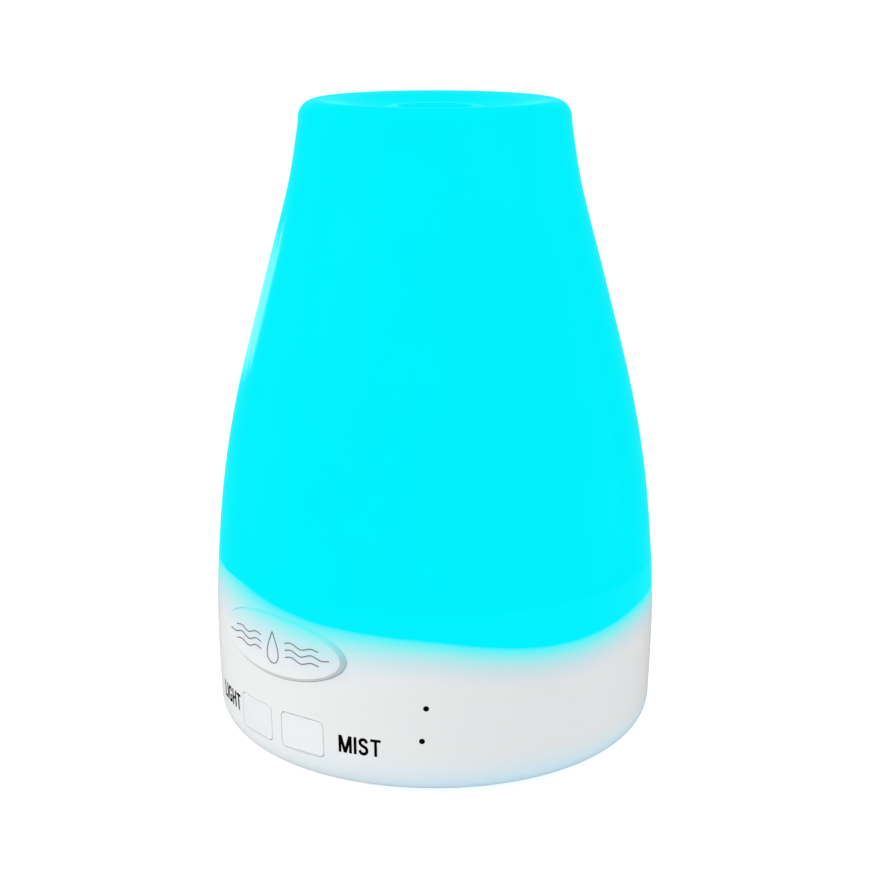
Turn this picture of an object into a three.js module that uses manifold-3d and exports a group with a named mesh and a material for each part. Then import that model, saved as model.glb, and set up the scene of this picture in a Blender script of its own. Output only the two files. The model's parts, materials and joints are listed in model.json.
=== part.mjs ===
// Ultrasonic essential oil diffuser, 95 mm across and 136 mm tall, as an assembly of separate pieces.
//
// A translucent cover lifts off a water tank.  The tank stands in the base shell and carries the
// ultrasonic disc, the ring of lamps and the posts that the bottom cover is screwed to.  The base
// holds the driver board, the fan, the two front buttons with their switches, and the power socket.
//
// Millimetres, +Z up.  The origin is on the table under the middle of the body and the buttons face
// -Y.  Bearings around the body are in degrees from the front, turning towards +X.
import * as THREE from "three";
import { mergeVertices } from "three/addons/utils/BufferGeometryUtils.js";
import Module from "manifold-3d";

const wasm = await Module();
wasm.setup();

// ---------------------------------------------------------------- driving dimensions
const HEIGHT = 135.7; // table to the crest of the cover
const BODY_R = 47.5; // widest radius of the body
const BASE_Z = 1; // underside of the base, held off the table by the feet
const SEAM_Z = 39.5; // where the cover rests on the base
const WALL = 2.2; // base shell wall
const COVER_WALL = 2;
const GAP = 0.3; // clearance between neighbouring pieces
const SLIP = 0.1; // clearance where one flat face rests on another
const ROUND = 36; // facets around the body
const FINE = 24; // facets around middling round pieces
const SMALL = 12; // facets around screws, posts and pins

// Body outline as [radius, height], from the end of the rounded foot to the neck.
const OUTLINE = [
  [47.1, 8.4],
  [BODY_R, 26],
  [46.75, 42],
  [44.95, 59],
  [41.6, 76.5],
  [35.8, 98.7],
  [30.6, 118],
  [28.3, 131],
];
const FOOT_CURVE = { r: 39.1, z: 8.4, dr: 8, dz: 7.4 }; // quarter ellipse under the outline
const CREST_R = 24.5; // where the rounded top corner reaches full height
const CORNER_Z = 132; // where the rounded top corner starts
const OUTLET_R = 7.5; // mist outlet

const COLLAR = { outer: 44.5, inner: 43.4, top: 43.5 }; // ring inside the cover's rim
const DECK = { inner: 37, top: 37.5, thick: 2 }; // ledge that the tank flange rests on
const BOTTOM = { r: 37.9, thick: 2, ledgeR: 36.2, ledgeTop: 4.8 };

const TANK = { floor: 38.3, flangeR: 43.1, flangeTop: 40.3, outer: 37, inner: 35, rim: 76 };
const POST_RING_R = 31; // circle of the three tank posts and bottom screws
const POST_R = 3.2;
const POST_BEARINGS = [0, 120, 240];
const FOOT_RING_R = 31;
const FOOT_BEARINGS = [32, 148, 212, 328];

const FAN = { x: 20, y: -4, z: 5.2, size: 30, deep: 10, bore: 13.8 };
const DUCT = { x: 28.3, y: -4, outer: 6, inner: 4.6, bottom: 24, top: 80 }; // air duct up the tank

const BOARD = { r: 37, z: 9.4, thick: 1.6, front: -34 }; // driver board
const JACK_Z = 17.5; // height of the power socket's axis
const NOSE = 0.4; // how far the power socket stands out of the body

const BUTTON = { x: 6.83, z: 11.65, wide: 11, tall: 8, corner: 1.2 }; // window in the shell
const SWITCH = { front: -39.8, back: -36.4, size: 6 };
const INDICATORS = [
  { name: "upper", bearing: 41.2, z: 20.9 },
  { name: "lower", bearing: 40.2, z: 13.9 },
];
// The badge's face is a plate of radius curve, less curved than the body, so its ends stand out.
const BADGE = { a: 17.8, b: 6.4, z: 29.2, deep: 0.45, front: 47.8, curve: 60 };

// ---------------------------------------------------------------- helpers
const rad = THREE.MathUtils.degToRad;

// A plastic or metal material.
const finish = (color, roughness, metalness = 0) =>
  new THREE.MeshStandardMaterial({ color, roughness, metalness });

const MATERIALS = {
  cover: finish(0x9df6ff, 0.35),
  shell: finish(0xeceeef, 0.3),
  tank: finish(0xf4f8f8, 0.3),
  button: finish(0xf3f6f6, 0.25),
  silicone: finish(0xe6e6e0, 0.7),
  rubber: finish(0x3c3d3f, 0.8),
  black: finish(0x1b1c1e, 0.5),
  board: finish(0x1f6a3d, 0.5),
  whiteBoard: finish(0xf0f0ea, 0.5),
  steel: finish(0xb9bcc0, 0.35, 1),
  brass: finish(0xc9a45a, 0.35, 1),
  aluminium: finish(0xa9adb2, 0.4, 1),
  ceramic: finish(0xd8d4c6, 0.4),
  lamp: finish(0xffffff, 0.3),
  ferrite: finish(0x2e2f33, 0.7),
  red: finish(0xb42222, 0.5),
};

// A closed manifold-3d solid from a three.js geometry.
function solid(geometry) {
  const bare = geometry.index ? geometry.toNonIndexed() : geometry.clone();
  bare.deleteAttribute("normal");
  bare.deleteAttribute("uv");
  const merged = mergeVertices(bare, 1e-4);
  return new wasm.Manifold(
    new wasm.Mesh({
      numProp: 3,
      vertProperties: merged.attributes.position.array,
      triVerts: new Uint32Array(merged.index.array),
    }),
  );
}

// A three.js geometry from a manifold-3d solid.
function geometryOf(body) {
  const { vertProperties, triVerts } = body.getMesh();
  const geometry = new THREE.BufferGeometry()
    .setAttribute("position", new THREE.BufferAttribute(vertProperties, 3))
    .setIndex(new THREE.BufferAttribute(triVerts, 1));
  geometry.computeVertexNormals();
  return geometry;
}

const joined = (geometries) => geometries.map(solid).reduce((all, one) => all.add(one));

// The first geometry plus the added ones, minus the cut ones.
function carved(first, { add = [], cut = [] }) {
  let body = joined([first, ...add]);
  if (cut.length) body = body.subtract(joined(cut));
  return geometryOf(body);
}

// A named mesh, placed at x, y, z.
function piece(name, geometry, material, [x, y, z] = [0, 0, 0]) {
  const mesh = new THREE.Mesh(geometry, material);
  mesh.name = name;
  mesh.position.set(x, y, z);
  return mesh;
}

// A solid of revolution about Z from a closed loop of [radius, height].
function turned(loop, facets = ROUND) {
  const points = loop.map(([r, z]) => new THREE.Vector2(r, z));
  if (THREE.ShapeUtils.area(points) < 0) points.reverse();
  points.push(points[0].clone());
  return new THREE.LatheGeometry(points, facets).rotateX(Math.PI / 2);
}

// A round bar standing on z0 at x, y.
function rod(r, z0, z1, x = 0, y = 0, facets = SMALL) {
  return new THREE.CylinderGeometry(r, r, z1 - z0, facets)
    .rotateX(Math.PI / 2)
    .translate(x, y, (z0 + z1) / 2);
}

function box(x0, x1, y0, y1, z0, z1) {
  return new THREE.BoxGeometry(x1 - x0, y1 - y0, z1 - z0).translate(
    (x0 + x1) / 2,
    (y0 + y1) / 2,
    (z0 + z1) / 2,
  );
}

function roundedRectangle(wide, tall, corner) {
  const [x, y] = [wide / 2 - corner, tall / 2 - corner];
  const shape = new THREE.Shape();
  shape.absarc(x, y, corner, 0, rad(90));
  shape.absarc(-x, y, corner, rad(90), rad(180));
  shape.absarc(-x, -y, corner, rad(180), rad(270));
  shape.absarc(x, -y, corner, rad(270), rad(360));
  return shape;
}

// A shape pushed up from z0 to z1.
function prism(shape, z0, z1, curveSegments = 4) {
  const depth = z1 - z0;
  return new THREE.ExtrudeGeometry(shape, { depth, curveSegments, bevelEnabled: false }).translate(
    0,
    0,
    z0,
  );
}

// A shape drawn in X and Z, pushed along Y from y0 to y1.
function frontPrism(shape, y0, y1, x, z, curveSegments = 4) {
  return prism(shape, -y1, -y0, curveSegments).rotateX(Math.PI / 2).translate(x, 0, z);
}

// The point at a bearing and a radius.
const around = (bearing, r) => [r * Math.sin(rad(bearing)), -r * Math.cos(rad(bearing))];

// A machine screw with its head at the bottom: the head's underside is at z = 0.
function screw(headR, headTall, shankR, shankLong) {
  const slot = box(-headR * 0.7, headR * 0.7, -0.25, 0.25, -headTall - 1, -headTall * 0.55);
  const loop = [
    [0, -headTall],
    [headR, -headTall],
    [headR, 0],
    [shankR, 0],
    [shankR, shankLong],
    [0, shankLong],
  ];
  return carved(turned(loop, SMALL), { cut: [slot] });
}

// A lead or wire along smooth points.
function wire(r, points) {
  const path = new THREE.CatmullRomCurve3(points.map((p) => new THREE.Vector3(...p)));
  const section = new THREE.Shape().absarc(0, 0, r, 0, 2 * Math.PI);
  return new THREE.ExtrudeGeometry(section, { extrudePath: path, steps: 12, curveSegments: 3 });
}

// ---------------------------------------------------------------- body outline
const outlineSamples = new THREE.SplineCurve(
  OUTLINE.map(([r, z]) => new THREE.Vector2(r, z)),
).getPoints(400);

function outerRadius(z) {
  const next = outlineSamples.findIndex((p) => p.y >= z);
  if (next <= 0) return outlineSamples[next < 0 ? outlineSamples.length - 1 : 0].x;
  const [low, high] = [outlineSamples[next - 1], outlineSamples[next]];
  return THREE.MathUtils.mapLinear(z, low.y, high.y, low.x, high.x);
}

// Points of the outline from z0 to z1, moved inwards by inset.
function outlineBetween(z0, z1, steps, inset = 0) {
  return Array.from({ length: steps + 1 }, (_, i) => {
    const z = THREE.MathUtils.lerp(z0, z1, i / steps);
    return [outerRadius(z) - inset, z];
  });
}

// The rounded foot, from its lowest point up to the outline, moved inwards by inset.
function footCurve(fromAngle, steps, inset = 0) {
  const { r, z, dr, dz } = FOOT_CURVE;
  return Array.from({ length: steps }, (_, i) => {
    const angle = rad(THREE.MathUtils.lerp(fromAngle, 0, i / steps));
    return [r + (dr - inset) * Math.cos(angle), z - (dz - inset) * Math.sin(angle)];
  });
}

// ---------------------------------------------------------------- cover
function cover() {
  const corner = [0, 30, 60].map((angle) => {
    const [dr, dz] = [outerRadius(131) - 0.15 - CREST_R, HEIGHT - CORNER_Z];
    return [CREST_R + dr * Math.cos(rad(angle)), CORNER_Z + dz * Math.sin(rad(angle))];
  });
  const rimZ = SEAM_Z + SLIP;
  const loop = [
    ...outlineBetween(rimZ, 131, 9),
    ...corner,
    [CREST_R, HEIGHT],
    [21, HEIGHT - 0.5],
    [15, HEIGHT - 1.9],
    [10.6, HEIGHT - 2.4],
    [9.8, HEIGHT - 1.6],
    [8.4, HEIGHT - 1.4],
    [OUTLET_R, HEIGHT - 2],
    [OUTLET_R, 128],
    [11, 88],
    [12.6, 88],
    [9.4, 128],
    [9.6, 131.4],
    [15, 131.8],
    [21, 132.7],
    [23.8, 132.2],
    ...outlineBetween(rimZ, 130, 6, COVER_WALL).reverse(),
  ];
  return piece("upper_cover", turned(loop), MATERIALS.cover);
}

// ---------------------------------------------------------------- base shell
const windowAt = (x, slack, y0, y1) =>
  frontPrism(
    roundedRectangle(BUTTON.wide - 2 * slack, BUTTON.tall - 2 * slack, BUTTON.corner),
    y0,
    y1,
    x,
    BUTTON.z,
  );

const ellipse = (a, b) => new THREE.Shape().absellipse(0, 0, a, b, 0, 2 * Math.PI);

// A ring that follows the outline, from inset below its surface to proud above it.
const skin = (z0, z1, inset, proud) =>
  turned([...outlineBetween(z0, z1, 3, -proud), ...outlineBetween(z0, z1, 3, inset).reverse()]);

// The badge's oval, cut out of a ring that follows the body.
const oval = (slack, inset, proud) =>
  solid(skin(BADGE.z - 9, BADGE.z + 9, inset, proud)).intersect(
    solid(frontPrism(ellipse(BADGE.a + slack, BADGE.b + slack), -60, -30, 0, BADGE.z, 16)),
  );

// A radial bar through the wall at a bearing and a height.
function radialBar(r, from, to, bearing, z) {
  return new THREE.CylinderGeometry(r, r, to - from, SMALL)
    .translate(0, -(from + to) / 2, 0)
    .rotateZ(rad(bearing))
    .translate(0, 0, z);
}

function baseShell() {
  const open = BOTTOM.r + GAP;
  const loop = [
    [open, BASE_Z],
    ...footCurve(90, 5),
    ...outlineBetween(FOOT_CURVE.z, SEAM_Z, 4),
    [COLLAR.outer, SEAM_Z],
    [COLLAR.outer, COLLAR.top],
    [COLLAR.inner, COLLAR.top],
    [COLLAR.inner, DECK.top],
    [DECK.inner, DECK.top],
    [DECK.inner, DECK.top - DECK.thick],
    ...outlineBetween(FOOT_CURVE.z, DECK.top - DECK.thick, 3, WALL).reverse(),
    ...footCurve(43.8, 3, WALL).slice(1).reverse(),
    [43.1, BOTTOM.ledgeTop],
    [BOTTOM.ledgeR, BOTTOM.ledgeTop],
    [BOTTOM.ledgeR, BASE_Z + BOTTOM.thick + SLIP],
    [open, BASE_Z + BOTTOM.thick + SLIP],
  ];
  const openings = [
    windowAt(-BUTTON.x, 0, -60, -40),
    windowAt(BUTTON.x, 0, -60, -40),
    ...INDICATORS.map(({ bearing, z }) => radialBar(0.9, 43, 50, bearing, z)),
    new THREE.CylinderGeometry(4.5, 4.5, 10, FINE).translate(0, 46, JACK_Z),
  ];
  const body = solid(turned(loop)).subtract(joined(openings)).subtract(oval(0.2, BADGE.deep + SLIP, 1));
  return piece("base_shell", geometryOf(body), MATERIALS.shell);
}

function badge() {
  const { deep, front, curve, z } = BADGE;
  const plate = rod(curve, z - 15, z + 15, 0, curve - front, 180);
  return piece("front_badge", geometryOf(oval(0, deep, 3).intersect(solid(plate))), MATERIALS.button);
}

// ---------------------------------------------------------------- bottom cover and feet
function bottomCover() {
  const top = BASE_Z + BOTTOM.thick;
  const posts = POST_BEARINGS.map((b) => around(b, POST_RING_R));
  const feet = FOOT_BEARINGS.map((b) => around(b, FOOT_RING_R));
  const slots = [-3, -2, -1, 0, 1, 2, 3].map((row) => {
    const y = row * 3.6;
    const half = Math.sqrt(12.6 ** 2 - y ** 2);
    const slot = roundedRectangle(2 * half, 2, 0.99);
    return prism(slot, 0, 5, 2).translate(FAN.x, FAN.y + y, 0);
  });
  const geometry = carved(rod(BOTTOM.r, BASE_Z, top, 0, 0, ROUND), {
    add: [
      ...posts.map(([x, y]) => rod(4.2, top - 1, top + 3, x, y)),
      ...driverPosts().map(([x, y]) => rod(2.4, top - 1, BOARD.z - SLIP, x, y)),
      ...fanPosts().map(([x, y]) => rod(2.2, top - 1, FAN.z - SLIP, x, y)),
    ],
    cut: [
      ...posts.map(([x, y]) => rod(3, 0, BASE_Z + 3, x, y)),
      ...posts.map(([x, y]) => rod(1.5, 3, 8, x, y)),
      ...driverPosts().map(([x, y]) => rod(1.2, top + 1, 12, x, y)),
      ...fanPosts().map(([x, y]) => rod(1.2, top, 12, x, y)),
      ...feet.map(([x, y]) => rod(4.8, 0, BASE_Z + 1, x, y)),
      ...slots,
    ],
  });
  return piece("bottom_cover", geometry, MATERIALS.shell);
}

const bottomScrews = () =>
  POST_BEARINGS.map((bearing, i) =>
    piece(`bottom_screw_${i + 1}`, screw(2.6, 1.6, 1.2, 11), MATERIALS.steel, [
      ...around(bearing, POST_RING_R),
      BASE_Z + 3 - SLIP,
    ]),
  );

// Rubber pads, with a slightly rounded lower edge.
const feet = () =>
  FOOT_BEARINGS.map((bearing, i) =>
    piece(
      `foot_${i + 1}`,
      turned([[0, 0], [4.1, 0], [4.5, 0.4], [4.5, BASE_Z + 1 - SLIP], [0, BASE_Z + 1 - SLIP]], SMALL),
      MATERIALS.rubber,
      [...around(bearing, FOOT_RING_R), 0],
    ),
  );

// ---------------------------------------------------------------- tank, disc and lamps
const RETAINER = { ringR: 15.4, bossEnd: 32, bearings: [60, 180, 300] };
const LAMPS = { bossR: 22.5, bossEnd: 33.4, z: 31.6, thick: 1.6, bearings: [45, 135, 225, 315] };
const LAMP_SCREW_BEARINGS = [0, 180];

function tank() {
  const { floor, flangeR, flangeTop, outer, inner, rim } = TANK;
  const cup = turned([
    [8, floor],
    [flangeR, floor],
    [flangeR, flangeTop],
    [outer, flangeTop],
    [outer, rim - 0.8],
    [outer - 0.6, rim],
    [inner + 0.4, rim],
    [inner, rim - 0.8],
    [inner, 43],
    [inner - 1.4, 42],
    [12, 40.6],
    [9.8, 40],
    [8, 40],
  ]);
  const into = floor + 0.4; // bosses run a little way into the floor
  const posts = POST_BEARINGS.map((b) => around(b, POST_RING_R));
  const retainerBosses = RETAINER.bearings.map((b) => around(b, RETAINER.ringR));
  const lampBosses = LAMP_SCREW_BEARINGS.map((b) => around(b, LAMPS.bossR));
  const geometry = carved(cup, {
    add: [
      turned([[11.4, 32], [13.5, 32], [13.5, into], [11.4, into]], FINE),
      ...posts.map(([x, y]) => rod(POST_R, BASE_Z + 5 + SLIP, into, x, y)),
      ...retainerBosses.map(([x, y]) => rod(2.4, RETAINER.bossEnd, into, x, y)),
      ...lampBosses.map(([x, y]) => rod(2.2, LAMPS.bossEnd, into, x, y)),
    ],
    cut: [
      rod(DUCT.outer + GAP, 30, 50, DUCT.x, DUCT.y, 24),
      ...posts.map(([x, y]) => rod(1.5, 4, 18, x, y)),
      ...retainerBosses.map(([x, y]) => rod(1.2, 30, 36.5, x, y)),
      ...lampBosses.map(([x, y]) => rod(1.1, 32, 37, x, y)),
    ],
  });
  return piece("water_tank", geometry, MATERIALS.tank);
}

// A tube pushed up through the tank's floor as far as its flange, with a mouth slanted to the middle.
function airDuct() {
  const mouth = new THREE.BoxGeometry(30, 30, 12)
    .translate(0, 0, 6)
    .rotateY(rad(-30))
    .translate(0, 0, DUCT.top - 4);
  const tube = carved(rod(DUCT.outer, DUCT.bottom, DUCT.top, 0, 0, 24), {
    add: [rod(DUCT.outer + 1.2, TANK.floor - 1.6, TANK.floor - SLIP, 0, 0, 24)],
    cut: [rod(DUCT.inner, 20, 90, 0, 0, 24), mouth],
  });
  return piece("air_duct", tube, MATERIALS.tank, [DUCT.x, DUCT.y, 0]);
}

function tankGasket() {
  const [z0, z1] = [DECK.top + SLIP, TANK.floor - SLIP];
  const loop = [
    [38.4, z0],
    [42.7, z0],
    [42.7, z1],
    [38.4, z1],
  ];
  return piece("tank_gasket", turned(loop), MATERIALS.silicone);
}

function disc() {
  return piece("ultrasonic_disc", rod(10, 35.5, 36.5, 0, 0, FINE), MATERIALS.ceramic);
}

function discSeal() {
  const loop = [
    [8.2, 33.95],
    [11.1, 33.95],
    [11.1, 38.2],
    [8.2, 38.2],
    [8.2, 36.7],
    [10.3, 36.7],
    [10.3, 35.3],
    [8.2, 35.3],
  ];
  return piece("disc_seal", turned(loop, FINE), MATERIALS.silicone);
}

function discRetainer() {
  const loop = [
    [8.4, 29.9],
    [17.8, 29.9],
    [17.8, 31.8],
    [11, 31.8],
    [11, 33.85],
    [8.4, 33.85],
  ];
  const ring = turned(loop, FINE);
  const holes = RETAINER.bearings.map((b) => rod(1.2, 28, 33, ...around(b, RETAINER.ringR)));
  return piece("disc_retainer", carved(ring, { cut: holes }), MATERIALS.whiteBoard);
}

const retainerScrews = () =>
  RETAINER.bearings.map((bearing, i) =>
    piece(`retainer_screw_${i + 1}`, screw(1.9, 1.2, 0.9, 5.6), MATERIALS.steel, [
      ...around(bearing, RETAINER.ringR),
      29.9 - SLIP,
    ]),
  );

function lampBoard() {
  const [z0, z1] = [LAMPS.z, LAMPS.z + LAMPS.thick];
  const geometry = carved(turned([[19, z0], [27.2, z0], [27.2, z1], [19, z1]]), {
    cut: [
      ...LAMP_SCREW_BEARINGS.map((b) => rod(1.1, 30, 35, ...around(b, LAMPS.bossR))),
      rod(DUCT.outer + GAP, 30, 35, DUCT.x, DUCT.y, 24),
    ],
  });
  return piece("led_board", geometry, MATERIALS.whiteBoard);
}

// A square colour-changing lamp with a shallow round window in its face.
function lamps() {
  const body = () =>
    carved(box(-2.5, 2.5, -2.5, 2.5, 0, 1.6), { cut: [rod(2, 1.3, 3)] });
  return LAMPS.bearings.map((bearing, i) => {
    const lamp = piece(`led_${i + 1}`, body(), MATERIALS.lamp, [
      ...around(bearing, 23),
      LAMPS.z + LAMPS.thick + SLIP / 2,
    ]);
    lamp.rotation.z = rad(bearing);
    return lamp;
  });
}

const lampScrews = () =>
  LAMP_SCREW_BEARINGS.map((bearing, i) =>
    piece(`led_screw_${i + 1}`, screw(1.7, 1.1, 0.8, 5), MATERIALS.steel, [
      ...around(bearing, LAMPS.bossR),
      LAMPS.z - SLIP,
    ]),
  );

// ---------------------------------------------------------------- driver board
function driverPosts() {
  return [
    [-14, 27],
    [-14, -28.5],
  ];
}

function driverBoard() {
  const [z0, z1] = [BOARD.z, BOARD.z + BOARD.thick];
  const geometry = carved(rod(BOARD.r, z0, z1, 0, 0, ROUND), {
    cut: [
      box(-60, 60, -60, BOARD.front, z0 - 1, z1 + 1),
      box(FAN.x - FAN.size / 2 - 1.5, 60, FAN.y - 16.5, FAN.y + 16.5, z0 - 1, z1 + 1),
      ...POST_BEARINGS.map((b) => rod(POST_R + 0.8, z0 - 1, z1 + 1, ...around(b, POST_RING_R))),
      ...driverPosts().map(([x, y]) => rod(1.3, z0 - 1, z1 + 1, x, y)),
    ],
  });
  return piece("driver_board", geometry, MATERIALS.board);
}

// A screw that goes down through the board, head on top.
const driverScrews = () =>
  driverPosts().map(([x, y], i) => {
    const mesh = piece(`driver_screw_${i + 1}`, screw(2.2, 1.4, 0.9, 6), MATERIALS.steel, [
      x,
      y,
      BOARD.z + BOARD.thick + SLIP,
    ]);
    mesh.rotation.x = Math.PI;
    return mesh;
  });

// An upright electrolytic capacitor with a rolled groove near its foot and a scored top.
function capacitor(r, tall) {
  const can = turned(
    [[0, 0], [r, 0], [r, 1], [r - 0.4, 1.5], [r, 2], [r, tall - 0.5], [r - 0.5, tall], [0, tall]],
    24,
  );
  const score = [box(-r * 0.7, r * 0.7, -0.15, 0.15, tall - 0.25, tall + 1)];
  return carved(can, { cut: score });
}

// A coil wound on a drum core: flanges with a narrower winding between them.
const drumCoil = (r, tall) =>
  turned(
    [
      [0, 0],
      [r, 0],
      [r, 1],
      [r - 0.8, 1.2],
      [r - 0.8, tall - 1.2],
      [r, tall - 1],
      [r, tall],
      [0, tall],
    ],
    24,
  );

function controllerChip() {
  const legs = [-3.8, -1.3, 1.3, 3.8].map((x) => box(x - 0.3, x + 0.3, -3, 3, 0, 0.5));
  return carved(box(-5, 5, -2, 2, 0.2, 1.8), { add: legs });
}

// A three-legged power transistor standing on its legs, with its tab upwards.
function transistor() {
  const legs = [-2.5, 0, 2.5].map((x) => box(x - 0.4, x + 0.4, -0.3, 0.3, 0, 4));
  const tab = box(-5, 5, 0.9, 2.2, 9, 15);
  return carved(box(-5, 5, -2.2, 2.2, 3.5, 12), {
    add: [...legs, tab],
    cut: [new THREE.CylinderGeometry(1.6, 1.6, 10, SMALL).translate(0, 0, 13.3)],
  });
}

// An extruded heat sink: a back plate with five fins.
function heatSink() {
  const fins = [-6.3, -3.15, 0, 3.15, 6.3].map((x) => box(x - 0.6, x + 0.6, 1, 8, 0, 15));
  return carved(box(-7, 7, 0, 1.6, 0, 15), { add: fins });
}

// A barrel power socket on the board's rear edge, its round nose standing in the shell's hole.
function powerSocket() {
  const top = BOARD.z + BOARD.thick + SLIP;
  const along = (r, y0, y1) =>
    new THREE.CylinderGeometry(r, r, y1 - y0, 24).translate(0, (y0 + y1) / 2, JACK_Z);
  const nose = BODY_R + NOSE;
  return [
    piece(
      "power_socket",
      carved(box(-4.5, 4.5, 32, 44.6, top, 22.6), {
        add: [along(4.2, 44, nose)],
        cut: [along(3.2, 36, nose + 1)],
      }),
      MATERIALS.black,
    ),
    piece(
      "power_socket_pin",
      along(1.05, 36.1, nose - 1),
      MATERIALS.brass,
    ),
  ];
}

function driver() {
  const group = new THREE.Group();
  const top = BOARD.z + BOARD.thick + SLIP;
  group.add(driverBoard(), ...driverScrews(), ...powerSocket());
  group.add(
    piece("controller_chip", controllerChip(), MATERIALS.black, [-6, -6, top]),
    piece("drive_transistor", transistor(), MATERIALS.black, [-14, 5.5, top]),
    piece("heat_sink", heatSink(), MATERIALS.aluminium, [-14, 8.2, top]),
    piece("capacitor_large", capacitor(4, 12), MATERIALS.black, [-5, -20, top]),
    piece("capacitor_small", capacitor(3.15, 8), MATERIALS.black, [-16, -19, top]),
    piece("drive_inductor", drumCoil(5, 10), MATERIALS.ferrite, [-27, -10, top]),
    piece("boost_inductor", drumCoil(4, 7.5), MATERIALS.ferrite, [-28, 3, top]),
  );
  return group;
}

// ---------------------------------------------------------------- fan
function fanPosts() {
  return [
    [FAN.x - 12, FAN.y - 12],
    [FAN.x + 12, FAN.y + 12],
  ];
}

// A square frame with a round bore, and three arms that carry the motor's round base.
function fanFrame() {
  const { size, deep, bore } = FAN;
  const arms = [0, 120, 240].map((turn) =>
    box(-0.9, 0.9, 6, bore + 0.5, 0, 1.2).rotateZ(rad(turn)),
  );
  const corners = [-12, 12].flatMap((x) => [-12, 12].map((y) => rod(1.6, -1, deep + 1, x, y)));
  const ring = solid(prism(roundedRectangle(size, size, 3), 0, deep)).subtract(
    joined([rod(bore, -1, deep + 1, 0, 0, FINE), ...corners]),
  );
  return geometryOf(ring.add(joined([rod(7, 0, 1.2, 0, 0, 24), ...arms])));
}

// A cupped hub with seven pitched blades.
function impeller() {
  const hub = turned([[0, 0], [7.2, 0], [7.2, 7.2], [6.4, 8], [0, 8]], 28);
  const blades = Array.from({ length: 7 }, (_, i) =>
    new THREE.BoxGeometry(6.2, 8.4, 0.9)
      .rotateX(rad(38))
      .translate(9.7, 0, 4)
      .rotateZ(rad((360 / 7) * i)),
  );
  return carved(hub, { add: blades });
}

// A funnel from the fan's round mouth up to the duct in the tank, one ring at a time.
function fanDuct() {
  const top = FAN.z + FAN.deep + SLIP;
  const [dx, dy] = [DUCT.x - FAN.x, DUCT.y - FAN.y];
  const rings = [
    [0, 0, 14.8, top],
    [0, 0, 14.8, top + 2],
    [dx, dy, 7.5, DUCT.bottom - 0.4],
    [dx, dy, 7.5, DUCT.bottom + 2.2],
    [dx, dy, 6.3, DUCT.bottom + 2.2],
    [dx, dy, 6.3, DUCT.bottom - 0.6],
    [0, 0, 13.6, top + 2],
    [0, 0, 13.6, top],
  ];
  const facets = FINE;
  const positions = rings.flatMap(([x, y, r, z]) =>
    Array.from({ length: facets }, (_, i) => {
      const angle = (2 * Math.PI * i) / facets;
      return [x + r * Math.cos(angle), y + r * Math.sin(angle), z];
    }).flat(),
  );
  const index = [];
  rings.forEach((_, ring) => {
    const above = (ring + 1) % rings.length;
    for (let i = 0; i < facets; i += 1) {
      const next = (i + 1) % facets;
      const [a, b] = [ring * facets + i, ring * facets + next];
      const [c, d] = [above * facets + i, above * facets + next];
      index.push(a, b, c, b, d, c);
    }
  });
  const geometry = new THREE.BufferGeometry();
  geometry.setAttribute("position", new THREE.Float32BufferAttribute(positions, 3));
  geometry.setIndex(index);
  geometry.computeVertexNormals();
  return geometry;
}

function fan() {
  const group = new THREE.Group();
  group.position.set(FAN.x, FAN.y, 0);
  group.add(
    piece("fan_frame", fanFrame(), MATERIALS.black, [0, 0, FAN.z]),
    piece("fan_impeller", impeller(), MATERIALS.black, [0, 0, FAN.z + 1.5]),
    piece("fan_duct", fanDuct(), MATERIALS.whiteBoard),
  );
  fanPosts().forEach(([x, y], i) => {
    const mesh = piece(`fan_screw_${i + 1}`, screw(1.9, 1.1, 0.9, 11), MATERIALS.steel, [
      x - FAN.x,
      y - FAN.y,
      FAN.z + FAN.deep + SLIP,
    ]);
    mesh.rotation.x = Math.PI;
    group.add(mesh);
  });
  return group;
}

// ---------------------------------------------------------------- buttons and indicators
// A cap cut flush with the body, with a lip that keeps it in the shell and a stem for its switch.
function buttonCap(x) {
  const loop = [
    [0, BASE_Z],
    ...footCurve(90, 5),
    ...outlineBetween(FOOT_CURVE.z, SEAM_Z, 4),
    [0, SEAM_Z],
  ];
  const body = solid(turned(loop));
  const cap = solid(windowAt(x, GAP, -60, -42.2)).intersect(body);
  const lip = solid(
    frontPrism(roundedRectangle(BUTTON.wide + 1.4, BUTTON.tall + 1.4, 1), -42.3, -41.4, x, BUTTON.z),
  );
  const stem = solid(new THREE.CylinderGeometry(1.6, 1.6, 1, SMALL).translate(x, -41.4, BUTTON.z));
  return geometryOf(cap.add(lip).add(stem));
}

// A square push switch lying on its back, with its plunger separate.
function pushSwitch(name, x) {
  const { front, back, size } = SWITCH;
  const h = size / 2;
  const body = carved(box(x - h, x + h, front, back, BUTTON.z - h, BUTTON.z + h), {
    cut: [new THREE.CylinderGeometry(2, 2, 1.6, SMALL).translate(x, front, BUTTON.z)],
  });
  const plunger = new THREE.CylinderGeometry(1.7, 1.7, 1.1, SMALL).translate(x, front - 0.23, BUTTON.z);
  return [
    piece(`${name}_switch`, body, MATERIALS.black),
    piece(`${name}_switch_plunger`, plunger, MATERIALS.rubber),
  ];
}

function controls() {
  const group = new THREE.Group();
  const back = SWITCH.back + SLIP;
  group.add(
    piece(
      "button_board",
      frontPrism(roundedRectangle(27, 11, 1), back, back + 1.4, 0, 12),
      MATERIALS.board,
    ),
    ...pushSwitch("light", -BUTTON.x),
    ...pushSwitch("mist", BUTTON.x),
    piece("light_button", buttonCap(-BUTTON.x), MATERIALS.button),
    piece("mist_button", buttonCap(BUTTON.x), MATERIALS.button),
  );
  return group;
}

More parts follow.
